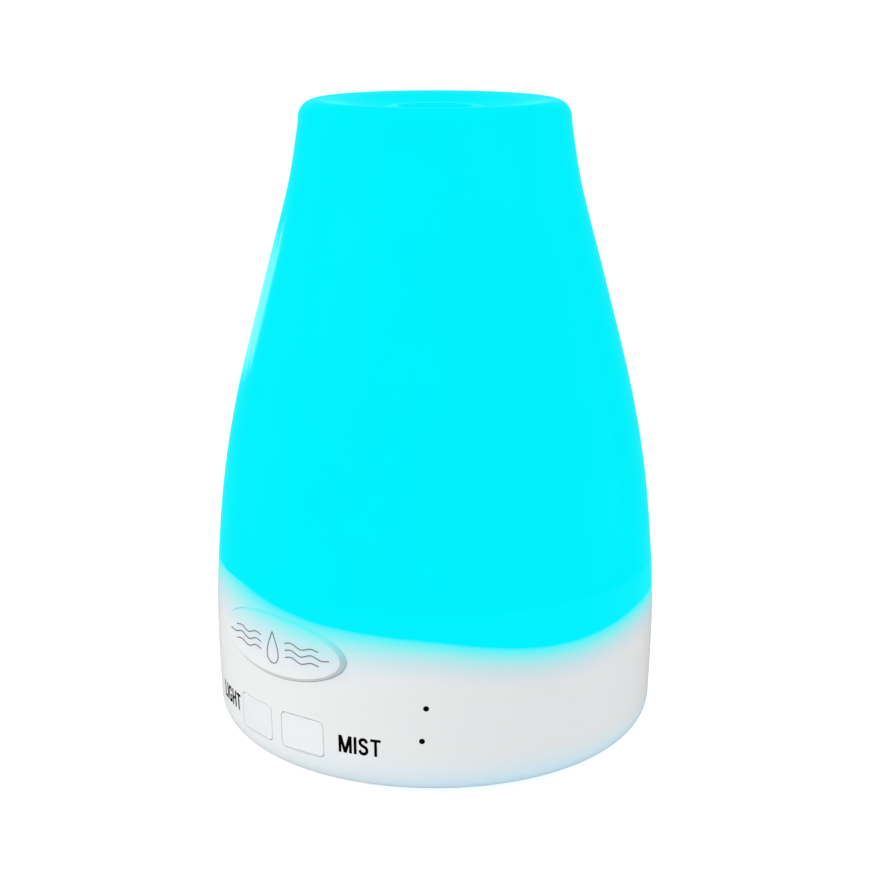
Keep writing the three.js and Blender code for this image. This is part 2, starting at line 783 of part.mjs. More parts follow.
// Two smoked light pipes in the wall, each with its lamp, on one small upright board.
function indicators() {
  const group = new THREE.Group();
  const boardBearing = (INDICATORS[0].bearing + INDICATORS[1].bearing) / 2;
  const board = piece("indicator_board", box(-3.5, 3.5, -40, -38.8, 10, 25), MATERIALS.board);
  board.rotation.z = rad(boardBearing);
  group.add(board);
  for (const { name, bearing, z } of INDICATORS) {
    const chip = box(-1.1, 1.1, -41.2, -40.1, z - 0.8, z + 0.8);
    const lamp = piece(`indicator_led_${name}`, chip, MATERIALS.lamp);
    lamp.rotation.z = rad(bearing);
    const pipe = radialBar(0.6, 41.5, 47.6, bearing, z);
    group.add(lamp, piece(`indicator_pipe_${name}`, pipe, MATERIALS.black));
  }
  return group;
}

// ---------------------------------------------------------------- internal leads
function leads() {
  const group = new THREE.Group();
  const board = BOARD.z + BOARD.thick + SLIP;
  const lead = (x, material, name) => {
    const points = [
      [x, 1, 35.3],
      [x, 1, 28],
      [x - 1, 6, 19],
      [x - 2, 8, 13.5],
      [x - 2, 8, board + 0.2],
    ];
    return piece(name, wire(0.6, points), material);
  };
  const ribbon = new THREE.Shape();
  ribbon.moveTo(-34.7, 14.2);
  ribbon.quadraticCurveTo(-33.2, 14.2, -33.2, board);
  ribbon.lineTo(-32.8, board);
  ribbon.quadraticCurveTo(-32.8, 14.6, -34.7, 14.6);
  const strip = new THREE.ExtrudeGeometry(ribbon, { depth: 8, curveSegments: 5, bevelEnabled: false })
    .rotateY(Math.PI / 2)
    .rotateX(Math.PI / 2)
    .translate(5, 0, 0);
  group.add(
    lead(1.2, MATERIALS.red, "disc_lead_red"),
    lead(-1.2, MATERIALS.black, "disc_lead_black"),
    piece(
      "fan_lead",
      wire(0.8, [[3.2, 6, 12], [2.6, 7, 15], [0, 13, 16], [-1, 15, 14], [-1, 15, board + 0.2]]),
      MATERIALS.black,
    ),
    piece("button_ribbon", strip, MATERIALS.whiteBoard),
  );
  return group;
}

// ---------------------------------------------------------------- assembly
const diffuser = new THREE.Group();
diffuser.name = "essential_oil_diffuser";
diffuser.add(cover(), baseShell(), badge(), bottomCover(), ...bottomScrews(), ...feet());
diffuser.add(tank(), airDuct(), tankGasket(), disc(), discSeal(), discRetainer(), ...retainerScrews());
diffuser.add(lampBoard(), ...lamps(), ...lampScrews());
diffuser.add(driver(), fan(), controls(), indicators(), leads());

export default diffuser;
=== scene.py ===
"""The looks of an ultrasonic essential oil diffuser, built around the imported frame.

Metres, +Z up, the table at z = 0 and the buttons facing -Y.  The object's lengths are written in
millimetres and scaled when a mesh is made; the camera and the lights are placed in metres.
Bearings around the body are in degrees from the front, turning towards +X.
"""

import bisect
import json
import math

import bpy
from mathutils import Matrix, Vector


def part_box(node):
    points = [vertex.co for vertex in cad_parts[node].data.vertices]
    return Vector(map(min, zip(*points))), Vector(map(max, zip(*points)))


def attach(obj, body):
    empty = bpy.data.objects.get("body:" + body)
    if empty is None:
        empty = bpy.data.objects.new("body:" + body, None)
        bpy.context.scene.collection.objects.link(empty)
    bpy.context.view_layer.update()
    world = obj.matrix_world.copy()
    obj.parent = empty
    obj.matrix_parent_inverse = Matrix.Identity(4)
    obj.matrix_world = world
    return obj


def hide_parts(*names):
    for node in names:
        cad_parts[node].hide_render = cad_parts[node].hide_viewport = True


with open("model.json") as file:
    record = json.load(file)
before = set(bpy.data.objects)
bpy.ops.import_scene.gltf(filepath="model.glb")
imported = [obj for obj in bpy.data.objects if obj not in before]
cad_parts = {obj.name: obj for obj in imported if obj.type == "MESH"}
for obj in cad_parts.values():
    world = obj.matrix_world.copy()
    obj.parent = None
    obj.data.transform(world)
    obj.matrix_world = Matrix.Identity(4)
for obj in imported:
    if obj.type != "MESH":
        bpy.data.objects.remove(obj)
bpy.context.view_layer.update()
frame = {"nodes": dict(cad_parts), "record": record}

MM = 0.001
AROUND = 160  # facets around the smooth shells
CORNER_STEPS = 7  # facets in a rounded rectangle's corner
SHARP = math.radians(35)  # edges that turn more than this stay crisp
ON_OUTLINE = 0.06  # mm within which a face counts as lying on the outline
ALONG_OUTLINE = 0.985  # and the least cosine between its normal and the outline's

# ------------------------------------------------------------------ the body's outline
OUTLINE = [
    (47.1, 8.4),
    (47.5, 26),
    (46.75, 42),
    (44.95, 59),
    (41.6, 76.5),
    (35.8, 98.7),
    (30.6, 118),
    (28.3, 131),
]
BASE_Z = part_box("base_shell")[0].z / MM
SEAM_Z = 39.5
TOP_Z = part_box("upper_cover")[1].z / MM
FOOT_R, FOOT_Z, FOOT_DR, FOOT_DZ = 39.1, 8.4, 8.0, 7.4  # quarter ellipse under the outline
COLLAR_R = 44.5
BADGE_Z = 29.2  # height of the badge's centre
BADGE_A, BADGE_B = 17.5, 6.4  # half its length and half its height


def spline(points, steps):
    """Points along a smooth open curve through the given ones."""
    made = []
    last = len(points) - 1
    for i in range(last):
        p0, p1 = points[max(i - 1, 0)], points[i]
        p2, p3 = points[i + 1], points[min(i + 2, last)]
        for step in range(steps):
            t = step / steps
            made.append(
                tuple(
                    (2 * b - 2 * c + (c - a) / 2 + (d - b) / 2) * t**3
                    + (3 * c - 3 * b - (c - a) - (d - b) / 2) * t**2
                    + (c - a) / 2 * t
                    + b
                    for a, b, c, d in zip(p0, p1, p2, p3)
                )
            )
    return made + [tuple(points[-1])]


SAMPLES = spline(OUTLINE, 60)
HEIGHTS = [z for _, z in SAMPLES]


def radius_at(z):
    """The body's outer radius at a height."""
    if z < FOOT_Z:
        share = min(1.0, (FOOT_Z - z) / FOOT_DZ)
        return FOOT_R + FOOT_DR * math.sqrt(1 - share * share)
    i = min(max(bisect.bisect(HEIGHTS, z), 1), len(HEIGHTS) - 1)
    (r0, z0), (r1, z1) = SAMPLES[i - 1], SAMPLES[i]
    return r0 + (r1 - r0) * (z - z0) / (z1 - z0)


def slope_at(z):
    """The outline's outward normal at a height, as (radial, upward)."""
    if z < FOOT_Z - 0.05:
        radial = (radius_at(z) - FOOT_R) / FOOT_DR**2
        upward = (z - FOOT_Z) / FOOT_DZ**2
    else:
        radial = 0.8
        upward = -(radius_at(z + 0.4) - radius_at(z - 0.4))
    length = math.hypot(radial, upward)
    return radial / length, upward / length


def outline(z0, z1, steps, inset=0.0):
    """Points of the outline between two heights, moved inwards by inset."""
    heights = [z0 + (z1 - z0) * i / steps for i in range(steps + 1)]
    return [(radius_at(z) - inset, z) for z in heights]


def foot_curve(steps, start=90.0, inset=0.0):
    """The rounded foot from its lowest point up to the outline, moved inwards by inset."""
    made = []
    for i in range(steps):
        angle = math.radians(start * (1 - i / steps))
        r = FOOT_R + (FOOT_DR - inset) * math.cos(angle)
        made.append((r, FOOT_Z - (FOOT_DZ - inset) * math.sin(angle)))
    return made


def on_body(x, z, proud=0.0):
    """The point of the front of the body at x and z, standing proud of it."""
    r = radius_at(z) + proud
    return (x, -math.sqrt(r * r - x * x), z)


def at_bearing(bearing, r, z):
    """The point at a bearing, a distance from the axis and a height."""
    a = math.radians(bearing)
    return (r * math.sin(a), -r * math.cos(a), z)


# ------------------------------------------------------------------ meshes
def in_scene(name, data):
    """A new object in the scene."""
    made = bpy.data.objects.new(name, data)
    bpy.context.scene.collection.objects.link(made)
    return made


def smooth(mesh):
    """Smooth shading, except along crisp edges."""
    mesh.shade_smooth()
    mesh.set_sharp_from_angle(angle=SHARP)


def new_object(name, vertices, faces):
    """A mesh object from points in millimetres."""
    mesh = bpy.data.meshes.new(name)
    mesh.from_pydata([[c * MM for c in v] for v in vertices], [], faces)
    mesh.validate()
    smooth(mesh)
    return in_scene(name, mesh)


def rounded(loop):
    """A loop whose corners, written (r, z, fillet), are rounded."""
    made = []
    count = len(loop)
    for i, point in enumerate(loop):
        if len(point) == 2:
            made.append(tuple(point))
            continue
        here, fillet = Vector(point[:2]), point[2]
        ends = []
        for other in (loop[i - 1], loop[(i + 1) % count]):
            away = Vector(other[:2]) - here
            ends.append(here + away.normalized() * min(fillet, away.length * 0.45))
        for step in range(6):
            t = step / 5
            p = ends[0] * (1 - t) ** 2 + here * 2 * t * (1 - t) + ends[1] * t * t
            made.append((p.x, p.y))
    return made


def area(loop):
    """Twice the signed area inside a loop."""
    return sum(
        a[0] * b[1] - b[0] * a[1] for a, b in zip(loop, loop[1:] + loop[:1])
    )


def turned_faces(loop, around, centre):
    """Vertices and faces of a loop of (radius, height) turned about a vertical axis."""
    loop = rounded(loop)
    if area(loop) < 0:
        loop.reverse()
    vertices, rows = [], []
    for r, z in loop:
        if r < 1e-6:
            rows.append([len(vertices)] * around)
            vertices.append((centre[0], centre[1], z))
            continue
        rows.append(range(len(vertices), len(vertices) + around))
        for i in range(around):
            a = 2 * math.pi * i / around
            vertices.append((centre[0] + r * math.sin(a), centre[1] - r * math.cos(a), z))
    faces = []
    for low, high in zip(rows, rows[1:] + rows[:1]):
        for i in range(around):
            j = (i + 1) % around
            corners = []
            for corner in (low[i], low[j], high[j], high[i]):
                if corner not in corners:
                    corners.append(corner)
            if len(corners) > 2:
                faces.append(corners)
    return vertices, faces


def turned(name, loop, around=AROUND, centre=(0, 0)):
    """An object turned from a loop of (radius, height)."""
    return new_object(name, *turned_faces(loop, around, centre))


def volume(vertices, faces, start):
    """Six times the signed volume inside the faces."""
    total = 0.0
    for face in faces:
        a, *others = [Vector(vertices[i - start]) for i in face]
        total += sum(a.dot(b.cross(c)) for b, c in zip(others, others[1:]))
    return total


def loft_faces(rings, start):
    """Vertices and faces, turned outwards, of a closed body through rings of equal length."""
    count = len(rings[0])
    vertices = [p for ring in rings for p in ring]
    faces = []
    for k in range(len(rings) - 1):
        for i in range(count):
            j = (i + 1) % count
            a, b = start + k * count, start + (k + 1) * count
            faces.append((a + i, a + j, b + j, b + i))
    last = start + (len(rings) - 1) * count
    faces.append(tuple(range(start + count - 1, start - 1, -1)))
    faces.append(tuple(range(last, last + count)))
    if volume(vertices, faces, start) < 0:
        faces = [face[::-1] for face in faces]
    return vertices, faces


def lofted(name, *bodies):
    """One object from several lists of rings."""
    vertices, faces = [], []
    for rings in bodies:
        more, around = loft_faces(rings, len(vertices))
        vertices += more
        faces += around
    return new_object(name, vertices, faces)


def evaluated(thing):
    """The object's mesh with its modifiers applied."""
    bpy.context.view_layer.update()
    depsgraph = bpy.context.evaluated_depsgraph_get()
    return bpy.data.meshes.new_from_object(thing.evaluated_get(depsgraph))


def combined(body, others, operation):
    """The body with the others taken away or added, which are then removed."""
    for other in others:
        step = body.modifiers.new("step", "BOOLEAN")
        step.operation = operation
        step.object = other
        step.solver = "EXACT"
    body.data = evaluated(body)
    body.modifiers.clear()
    for other in others:
        bpy.data.objects.remove(other)
    smooth(body.data)
    return body


def cut(body, cutters):
    return combined(body, cutters, "DIFFERENCE")


def joined(body, others):
    return combined(body, others, "UNION")


def follow_outline(thing):
    """Gives the faces that lie on the body's outline the outline's exact normals."""
    mesh = thing.data
    normals = [Vector(corner.vector) for corner in mesh.corner_normals]
    for face in mesh.polygons:
        centre = face.center / MM
        r = math.hypot(centre.x, centre.y)
        exact = Vector((centre.x / r, centre.y / r, 0)) * slope_at(centre.z)[0]
        exact.z = slope_at(centre.z)[1]
        if exact.dot(face.normal) < ALONG_OUTLINE:
            continue
        if abs(r - radius_at(centre.z)) > ON_OUTLINE:
            continue
        for loop in face.loop_indices:
            point = mesh.vertices[mesh.loops[loop].vertex_index].co
            flat = Vector((point.x, point.y, 0)).normalized()
            radial, upward = slope_at(point.z / MM)
            normals[loop] = flat * radial + Vector((0, 0, upward))
    mesh.normals_split_custom_set(normals)


def rounded_rectangle(wide, tall, corner, grow=0.0):
    """Points of a rounded rectangle about the origin, moved outwards by grow."""
    corner = max(corner + grow, 0.05)
    x, z = wide / 2 + grow - corner, tall / 2 + grow - corner
    made = []
    for turn, (cx, cz) in enumerate([(x, z), (-x, z), (-x, -z), (x, -z)]):
        for i in range(CORNER_STEPS + 1):
            a = math.radians(90 * turn + 90 * i / CORNER_STEPS)
            made.append((cx + corner * math.cos(a), cz + corner * math.sin(a)))
    return made


def ellipse(a, b, count=96):
    """Points of an ellipse about the origin."""
    turns = [2 * math.pi * i / count for i in range(count)]
    return [(a * math.cos(t), b * math.sin(t)) for t in turns]


def circle_xz(x, y, z, r, count=40):
    """A ring facing along Y."""
    return [(x + px, y, z + pz) for px, pz in ellipse(r, r, count)]


# ------------------------------------------------------------------ materials
class Shader:
    """One node material, with coordinates that stay with the object."""

    def __init__(self, name, **sockets):
        self.material = bpy.data.materials.new(name)
        self.material.use_nodes = True
        self.tree = self.material.node_tree
        self.surface = self.tree.nodes["Principled BSDF"]
        self.place = self.add("ShaderNodeTexCoord", {}, output="Object")
        self.set(**sockets)

    def add(self, kind, inputs, output=0, **settings):
        made = self.tree.nodes.new(kind)
        for key, value in settings.items():
            setattr(made, key, value)
        for key, value in inputs.items():
            self.plug(made.inputs[key], value)
        return made.outputs[output]

    def plug(self, socket, value):
        if isinstance(value, bpy.types.NodeSocket):
            self.tree.links.new(value, socket)
        else:
            socket.default_value = value

    def set(self, **sockets):
        for name, value in sockets.items():
            self.plug(self.surface.inputs[name.replace("_", " ")], value)

    def math(self, operation, a, b=0.0):
        return self.add("ShaderNodeMath", {0: a, 1: b}, operation=operation)

    def noise(self, size_mm, detail=2.0, stretch=(1, 1, 1)):
        """Soft noise whose features are about that size."""
        place = self.add("ShaderNodeMapping", {"Vector": self.place, "Scale": stretch})
        return self.add(
            "ShaderNodeTexNoise",
            {"Vector": place, "Scale": 1 / (size_mm * MM), "Detail": detail},
        )

    def between(self, value, low, high, start=0.0, end=1.0):
        """Value mapped from start..end to low..high."""
        inputs = {0: value, 1: start, 2: end, 3: low, 4: high}
        return self.add("ShaderNodeMapRange", inputs)

    def blend(self, share, a, b, blend_type="MIX"):
        inputs = {0: share, 6: a, 7: b}
        return self.add(
            "ShaderNodeMix", inputs, output=2, data_type="RGBA", blend_type=blend_type
        )

    def ramp(self, value, stops):
        """Colours along a value: stops are (place, (r, g, b))."""
        made = self.tree.nodes.new("ShaderNodeValToRGB")
        marks = made.color_ramp.elements
        while len(marks) < len(stops):
            marks.new(0.5)
        for mark, (place, colour) in zip(marks, stops):
            mark.position = place
            mark.color = (*colour, 1)
        self.tree.links.new(value, made.inputs[0])
        return made.outputs[0]

    def bump(self, height, depth_mm):
        inputs = {"Height": height, "Distance": depth_mm * MM}
        self.set(Normal=self.add("ShaderNodeBump", inputs))


def linear(red, green, blue):
    """A linear colour from screen values of 0 to 255."""
    made = []
    for value in (red, green, blue):
        share = value / 255
        made.append(share / 12.92 if share <= 0.04045 else ((share + 0.055) / 1.055) ** 2.4)
    return tuple(made)


def opaque(colour):
    """A colour with its alpha."""
    return (*colour, 1)


def moulded(name, colour, roughness, grain=0.35, depth=0.004, mottle=0.03, **sockets):
    """Moulded plastic: slight mottling, uneven gloss and a fine spark-eroded grain."""
    s = Shader(name, **sockets)
    dark = opaque(tuple(c * (1 - mottle) for c in colour))
    light = opaque(tuple(min(1, c * (1 + mottle)) for c in colour))
    s.set(Base_Color=s.blend(s.noise(14), dark, light))
    s.set(Roughness=s.between(s.noise(5, 4), roughness - 0.05, roughness + 0.05))
    s.bump(s.noise(grain, 3), depth)
    return s.material


def metal(name, colour, roughness, stretch=(1, 1, 1)):
    """Metal with fine scratches drawn out along one direction."""
    s = Shader(name, Metallic=1.0)
    dark = opaque(tuple(c * 0.88 for c in colour))
    s.set(Base_Color=s.blend(s.noise(1.5, 4, stretch), dark, opaque(colour)))
    s.set(Roughness=s.between(s.noise(0.4, 4, stretch), roughness - 0.08, roughness + 0.12))
    s.bump(s.noise(0.12, 2, stretch), 0.003)
    return s.material


# ------------------------------------------------------------------ the lamps' glow
GLOW = linear(0, 242, 254)
GLOW_FADE = 8.5  # mm over which the glow fades down the base
GLOW_REACH = 5.0  # how many mm farther it reaches over the badge
GLOW_EDGE = 34.43  # mm, mean height of the lit zone's lower edge
GLOW_WAVES = [(2.68, -25), (1.78, -43), (0.73, -57), (0.26, -137), (0.83, -159)]
SHELL_LIGHT = 0.76  # how bright white plastic looks in this light
FOOT_CYAN_LIGHT_BEARING = 92  # where the painted cyan light on the foot is strongest
RIM_SHADE = 0.74  # how dark the painted shade makes the badge's rim where it turns away from the light


def axes(s):
    """The x, y and z of a point, from nodes."""
    parts = s.tree.nodes.new("ShaderNodeSeparateXYZ")
    s.tree.links.new(s.place, parts.inputs[0])
    return parts.outputs


def glow_depth(s, bearing, z):
    """How far a point is below the lit zone's edge, 0 at the edge and 1 where the glow ends."""
    edge = GLOW_EDGE
    for order, (height, phase) in enumerate(GLOW_WAVES, 1):
        turn = s.math("SUBTRACT", s.math("MULTIPLY", bearing, float(order)), math.radians(phase))
        edge = s.math("ADD", s.math("MULTIPLY", s.math("COSINE", turn), height), edge)
    below = s.math("SUBTRACT", edge, s.math("MULTIPLY", z, 1 / MM))
    below = s.math("ADD", below, s.between(s.noise(9), -0.2, 0.2))
    facing = s.math("COSINE", s.math("ADD", bearing, math.radians(12)))
    facing = s.math("POWER", s.math("MAXIMUM", facing, 0.0), 4.0)
    fade = s.math("ADD", s.math("MULTIPLY", facing, GLOW_REACH), GLOW_FADE)
    return s.math("DIVIDE", below, fade)


# What the shell looks like from the lit zone down, as screen colours.
FADE = [
    (-0.2, (0, 242, 254)),
    (-0.02, (0, 242, 254)),
    (0.03, (82, 243, 251)),
    (0.2, (138, 239, 240)),
    (0.4, (182, 230, 234)),
    (0.6, (206, 225, 229)),
    (0.8, (220, 225, 229)),
    (1.0, (226, 226, 226)),
]


def with_painted_rim_shade(s, white, x, z):
    """The white of the badge's rim, with painted shade where the rim turns down and towards +X.
    """
    across = s.math("MULTIPLY", x, 0.55 / (BADGE_A * MM))
    down = s.between(z, 0.85, -0.85, (BADGE_Z - BADGE_B) * MM, (BADGE_Z + BADGE_B) * MM)
    away = s.between(s.math("ADD", across, down), 0.0, 1.0, -0.25, 0.35)
    return s.blend(away, white, opaque((0.87 * RIM_SHADE,) * 3))


def shell_material(name, is_rim=False):
    """White plastic, lit from inside above a wavy edge, with painted cyan light where the foot
    curves under.
    """
    s = Shader(name, IOR=1.46, Specular_IOR_Level=0.03)
    x, y, z = axes(s)
    bearing = s.math("ARCTAN2", x, s.math("MULTIPLY", y, -1.0))
    white_share, lit = [], []
    for place, screen in FADE:
        colour = linear(*screen)
        share = colour[0] / linear(226, 226, 226)[0]
        place = (place + 0.2) / 1.2
        white_share.append((place, (share,) * 3))
        lit.append((place, tuple(max(0, c - share * SHELL_LIGHT) for c in colour)))
    depth = s.between(glow_depth(s, bearing, z), 0, 1, -0.2, 1.0)
    white = s.blend(s.noise(16), (0.865, 0.865, 0.868, 1), (0.885, 0.885, 0.888, 1))
    # Painted cyan light on the foot: a bluer base colour and a faint cyan emission, fading
    # upwards and strongest at one bearing.
    foot = s.between(z, 1.0, 0.0, 0.0015, 0.0105)
    side = s.math("COSINE", s.math("SUBTRACT", bearing, math.radians(FOOT_CYAN_LIGHT_BEARING)))
    foot = s.math("MULTIPLY", foot, s.between(side, 0.2, 1.0, 0.0, 0.95))
    white = s.blend(foot, white, (0.64, 0.9, 1.0, 1))
    # On the badge's rim, painted shade darkens the white on its lower, +X side.
    if is_rim:
        white = with_painted_rim_shade(s, white, x, z)
    s.set(Base_Color=s.blend(1.0, white, s.ramp(depth, white_share), "MULTIPLY"))
    foot_glow = s.blend(foot, (0, 0, 0, 1), (0, 0.02, 0.06, 1))
    s.set(Emission_Color=s.blend(1.0, s.ramp(depth, lit), foot_glow, "ADD"))
    s.set(Emission_Strength=1.0, Roughness=s.between(s.noise(6, 1), 0.27, 0.31))
    s.bump(s.noise(0.5, 3), 0.002)
    return s.material


def cover_material():
    """Plastic lit evenly from inside, with next to no gloss."""
    s = Shader("cover_plastic", Specular_IOR_Level=0.006, IOR=1.46)
    tone = s.noise(22, 2)
    s.set(Base_Color=s.blend(tone, (0.0, 0.10, 0.105, 1), (0.0, 0.12, 0.125, 1)))
    low = tuple(c * 0.87 for c in GLOW)
    high = tuple(c * 0.89 for c in GLOW)
    s.set(Emission_Color=s.blend(tone, opaque(low), opaque(high)), Emission_Strength=1.0)
    s.set(Roughness=s.between(s.noise(6, 1), 0.1, 0.14))
    s.bump(s.noise(0.5, 3), 0.001)
    return s.material


def tank_material():
    """Frosted plastic lit from under its floor, and brightest there."""
    s = Shader("tank_plastic", Specular_IOR_Level=0.3, IOR=1.46)
    height = s.between(axes(s)[2], 0.0, 1.0, 0.038, 0.08)
    glow = s.ramp(
        height,
        [(0.0, linear(120, 250, 255)), (0.12, linear(40, 236, 252)), (1.0, linear(96, 226, 240))],
    )
    s.set(Base_Color=s.blend(s.noise(12), (0.10, 0.20, 0.21, 1), (0.13, 0.23, 0.24, 1)))
    s.set(Emission_Color=glow, Emission_Strength=0.82)
    s.set(Roughness=s.between(s.noise(4, 4), 0.3, 0.42))
    s.bump(s.noise(0.35, 3), 0.004)
    return s.material


def board_material(name, mask, copper):
    """Solder mask over faint tracks."""
    s = Shader(name, Roughness=0.35)
    tracks = s.add(
        "ShaderNodeTexBrick",
        {
            "Vector": s.place,
            "Color1": opaque(mask),
            "Color2": opaque(tuple(c * 0.86 for c in mask)),
            "Mortar": opaque(copper),
            "Scale": 260.0,
            "Mortar Size": 0.03,
            "Brick Width": 1.1,
            "Row Height": 0.5,
        },
    )
    s.set(Base_Color=s.blend(s.noise(6), tracks, opaque(mask)))
    s.bump(s.noise(0.5, 2), 0.01)
    return s.material


def lamp_material():
    """An LED's lens, lit unevenly."""
    s = Shader("lamp", Roughness=0.15, Base_Color=(0.7, 0.9, 0.92, 1))
    s.set(Emission_Color=s.ramp(s.noise(2), [(0.3, GLOW), (0.7, linear(170, 252, 255))]))
    s.set(Emission_Strength=1.2)
    return s.material


def coil_material():
    """Enamelled wire wound in level turns."""
    s = Shader("coil", Roughness=0.3)
    turns = s.add(
        "ShaderNodeTexWave",
        {"Vector": s.place, "Scale": 900.0, "Distortion": 0.6, "Detail": 1.0},
        bands_direction="Z",
    )
    s.set(Base_Color=s.ramp(turns, [(0.2, (0.09, 0.03, 0.012)), (0.8, (0.42, 0.17, 0.06))]))
    s.bump(turns, 0.08)
    return s.material


shell = shell_material("shell_plastic")
# The badge's rim: the shell's look with painted shade on its lower, +X side.
shaded_rim_look = shell_material("badge_rim_shaded_plastic", is_rim=True)
plain_white = moulded("white_plastic", (0.87, 0.875, 0.88), 0.4)
motif_look = moulded("motif_grey", (0.2, 0.21, 0.23), 0.35, grain=0.2)
ink = moulded("label_ink", (0.001,) * 3, 0.5, 0.12, 0.002, Specular_IOR_Level=0.03)
# Each slot of the record and its look.
LOOKS = {
    "cover_plastic": cover_material(),
    "shell_plastic": plain_white,
    "white_plastic": plain_white,
    "tank_plastic": tank_material(),
    "button_plastic": moulded("button_plastic", (0.915, 0.935, 0.94), 0.22, mottle=0.008),
    "badge_plastic": moulded("badge_plastic", (0.895, 0.9, 0.905), 0.2, mottle=0.008),
    "smoked_plastic": moulded(
        "smoked_plastic", (0.002, 0.002, 0.003), 0.3, mottle=0.2, Specular_IOR_Level=0.1
    ),
    "black_plastic": moulded("black_plastic", (0.022, 0.022, 0.024), 0.42, 0.25, 0.01),
    "foot_rubber": moulded("foot_rubber", (0.035, 0.035, 0.037), 0.75, 0.2, 0.03),
    "silicone": moulded("silicone", (0.78, 0.79, 0.76), 0.55, 0.4, 0.006),
    "switch_plunger": moulded("switch_plunger", (0.09, 0.085, 0.08), 0.5),
    "capacitor_sleeve": moulded("capacitor_sleeve", (0.012, 0.018, 0.04), 0.3, mottle=0.2),
    "lead_red": moulded("lead_red", (0.42, 0.015, 0.012), 0.45, mottle=0.1),
    "lead_black": moulded("lead_black", (0.02, 0.02, 0.02), 0.45, mottle=0.1),
    "ribbon": moulded("ribbon", (0.7, 0.71, 0.68), 0.5),
    "screw_steel": metal("screw_steel", (0.62, 0.63, 0.65), 0.3),
    "disc_metal": metal("disc_metal", (0.74, 0.73, 0.7), 0.28),
    "pin_brass": metal("pin_brass", (0.8, 0.62, 0.34), 0.25, (1, 0.1, 1)),
    "heat_sink_aluminium": metal("heat_sink_aluminium", (0.68, 0.69, 0.71), 0.35, (1, 1, 0.1)),
    "green_board": board_material("green_board", (0.012, 0.13, 0.045), (0.03, 0.24, 0.08)),
    "white_board": board_material("white_board", (0.8, 0.8, 0.77), (0.7, 0.7, 0.66)),
    "lamp": lamp_material(),
    "coil": coil_material(),
}
SLOT_OF = {part["node"]: part["material_slot"] for part in frame["record"]["subparts"]}


def finish_piece(piece, body, slot, *nodes, look=None):
    """Puts a piece on its body in its slot's look or another, standing for its CAD nodes."""
    piece.data.materials.clear()
    piece.data.materials.append(look or LOOKS[slot])
    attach(piece, body)
    if nodes:
        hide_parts(*nodes)


# ------------------------------------------------------------------ cover
def upper_cover():
    """The lit cover, with its dished top, its outlet and the chimney hanging inside."""
    rim = SEAM_Z + 0.1
    crest_r, corner_z = 24.5, 132
    wide = radius_at(131) - 0.05
    corner = []
    for i in range(15):
        a = math.radians(90 * i / 14)
        r = crest_r + (wide - crest_r) * math.cos(a)
        corner.append((r, corner_z + (TOP_Z - corner_z) * math.sin(a)))
    dish = [(crest_r, 0), (20.5, -0.5), (16, -1.6), (13, -2.2), (11, -2.4)]
    dish = spline([(r, TOP_Z + z) for r, z in dish], 6)
    inner_top = spline([(9.6, 131.4), (15, 131.8), (20, 132.5), (23.8, 132.2)], 5)
    loop = [
        (radius_at(rim) - 1.9, rim, 0.3),
        (radius_at(rim), rim, 0.12),
        *outline(rim + 0.3, 131, 84),
        *corner,
        *dish[1:],
        (9.9, TOP_Z - 1.6),
        (8.9, TOP_Z - 1.35),
        (7.9, TOP_Z - 1.5),
        (7.5, TOP_Z - 2.1),
        (7.5, 128),
        (11, 88, 0.4),
        (12.6, 88, 0.4),
        (9.4, 128),
        *inner_top,
        *reversed(outline(rim + 0.6, 130, 40, 2.0)),
    ]
    cover = turned("cover_skin", loop, 192)
    finish_piece(cover, "cover", "cover_plastic", "upper_cover")


# ------------------------------------------------------------------ base
BUTTON_X, BUTTON_Z = 6.83, 11.65
WINDOW = (10.8, 7.8, 1.1)
CAP = (10.5, 7.5, 1.0)
EDGE = 0.16  # rounding around the windows and caps
JACK_Z = 17.5
PLATE_FRONT, PLATE_R = 47.8, 60.0  # the badge's face, which is less curved than the body


def window_cutter(x):
    """The opening for a button, flared where it meets the surface."""
    rings = []
    steps = [(EDGE, 1.0), (EDGE, 0.0)]
    for i in range(1, 5):
        a = math.radians(90 * i / 4)
        steps.append((EDGE * (1 - math.sin(a)), -EDGE * (1 - math.cos(a))))
    steps.append((0.0, -6.0))
    for grow, proud in steps:
        ring = rounded_rectangle(*WINDOW, grow)
        rings.append([on_body(x + px, BUTTON_Z + pz, proud) for px, pz in ring])
    return lofted("cutter", rings)


def badge_seat():
    """The shallow recess that the badge sits in, a hair wider than the badge."""
    rings = []
    for proud in (-0.6, 1.5):
        ring = ellipse(BADGE_A + 0.14, BADGE_B + 0.14)
        rings.append([on_body(px, BADGE_Z + pz, proud) for px, pz in ring])
    return lofted("cutter", rings)


def radial_rings(bearing, z, stations):
    """Rings of (radius, distance from the axis) about a level line at a bearing."""
    out = Vector(at_bearing(bearing, 1, 0))
    side = Vector((-out.y, out.x, 0))
    up = Vector((0, 0, 1))
    rings = []
    for r, reach in stations:
        centre = out * reach + up * z
        ring = [centre + side * px + up * pz for px, pz in ellipse(r, r, 32)]
        rings.append([tuple(p) for p in ring])
    return rings


INDICATORS = {"upper": (41.2, 20.9), "lower": (40.2, 13.9)}


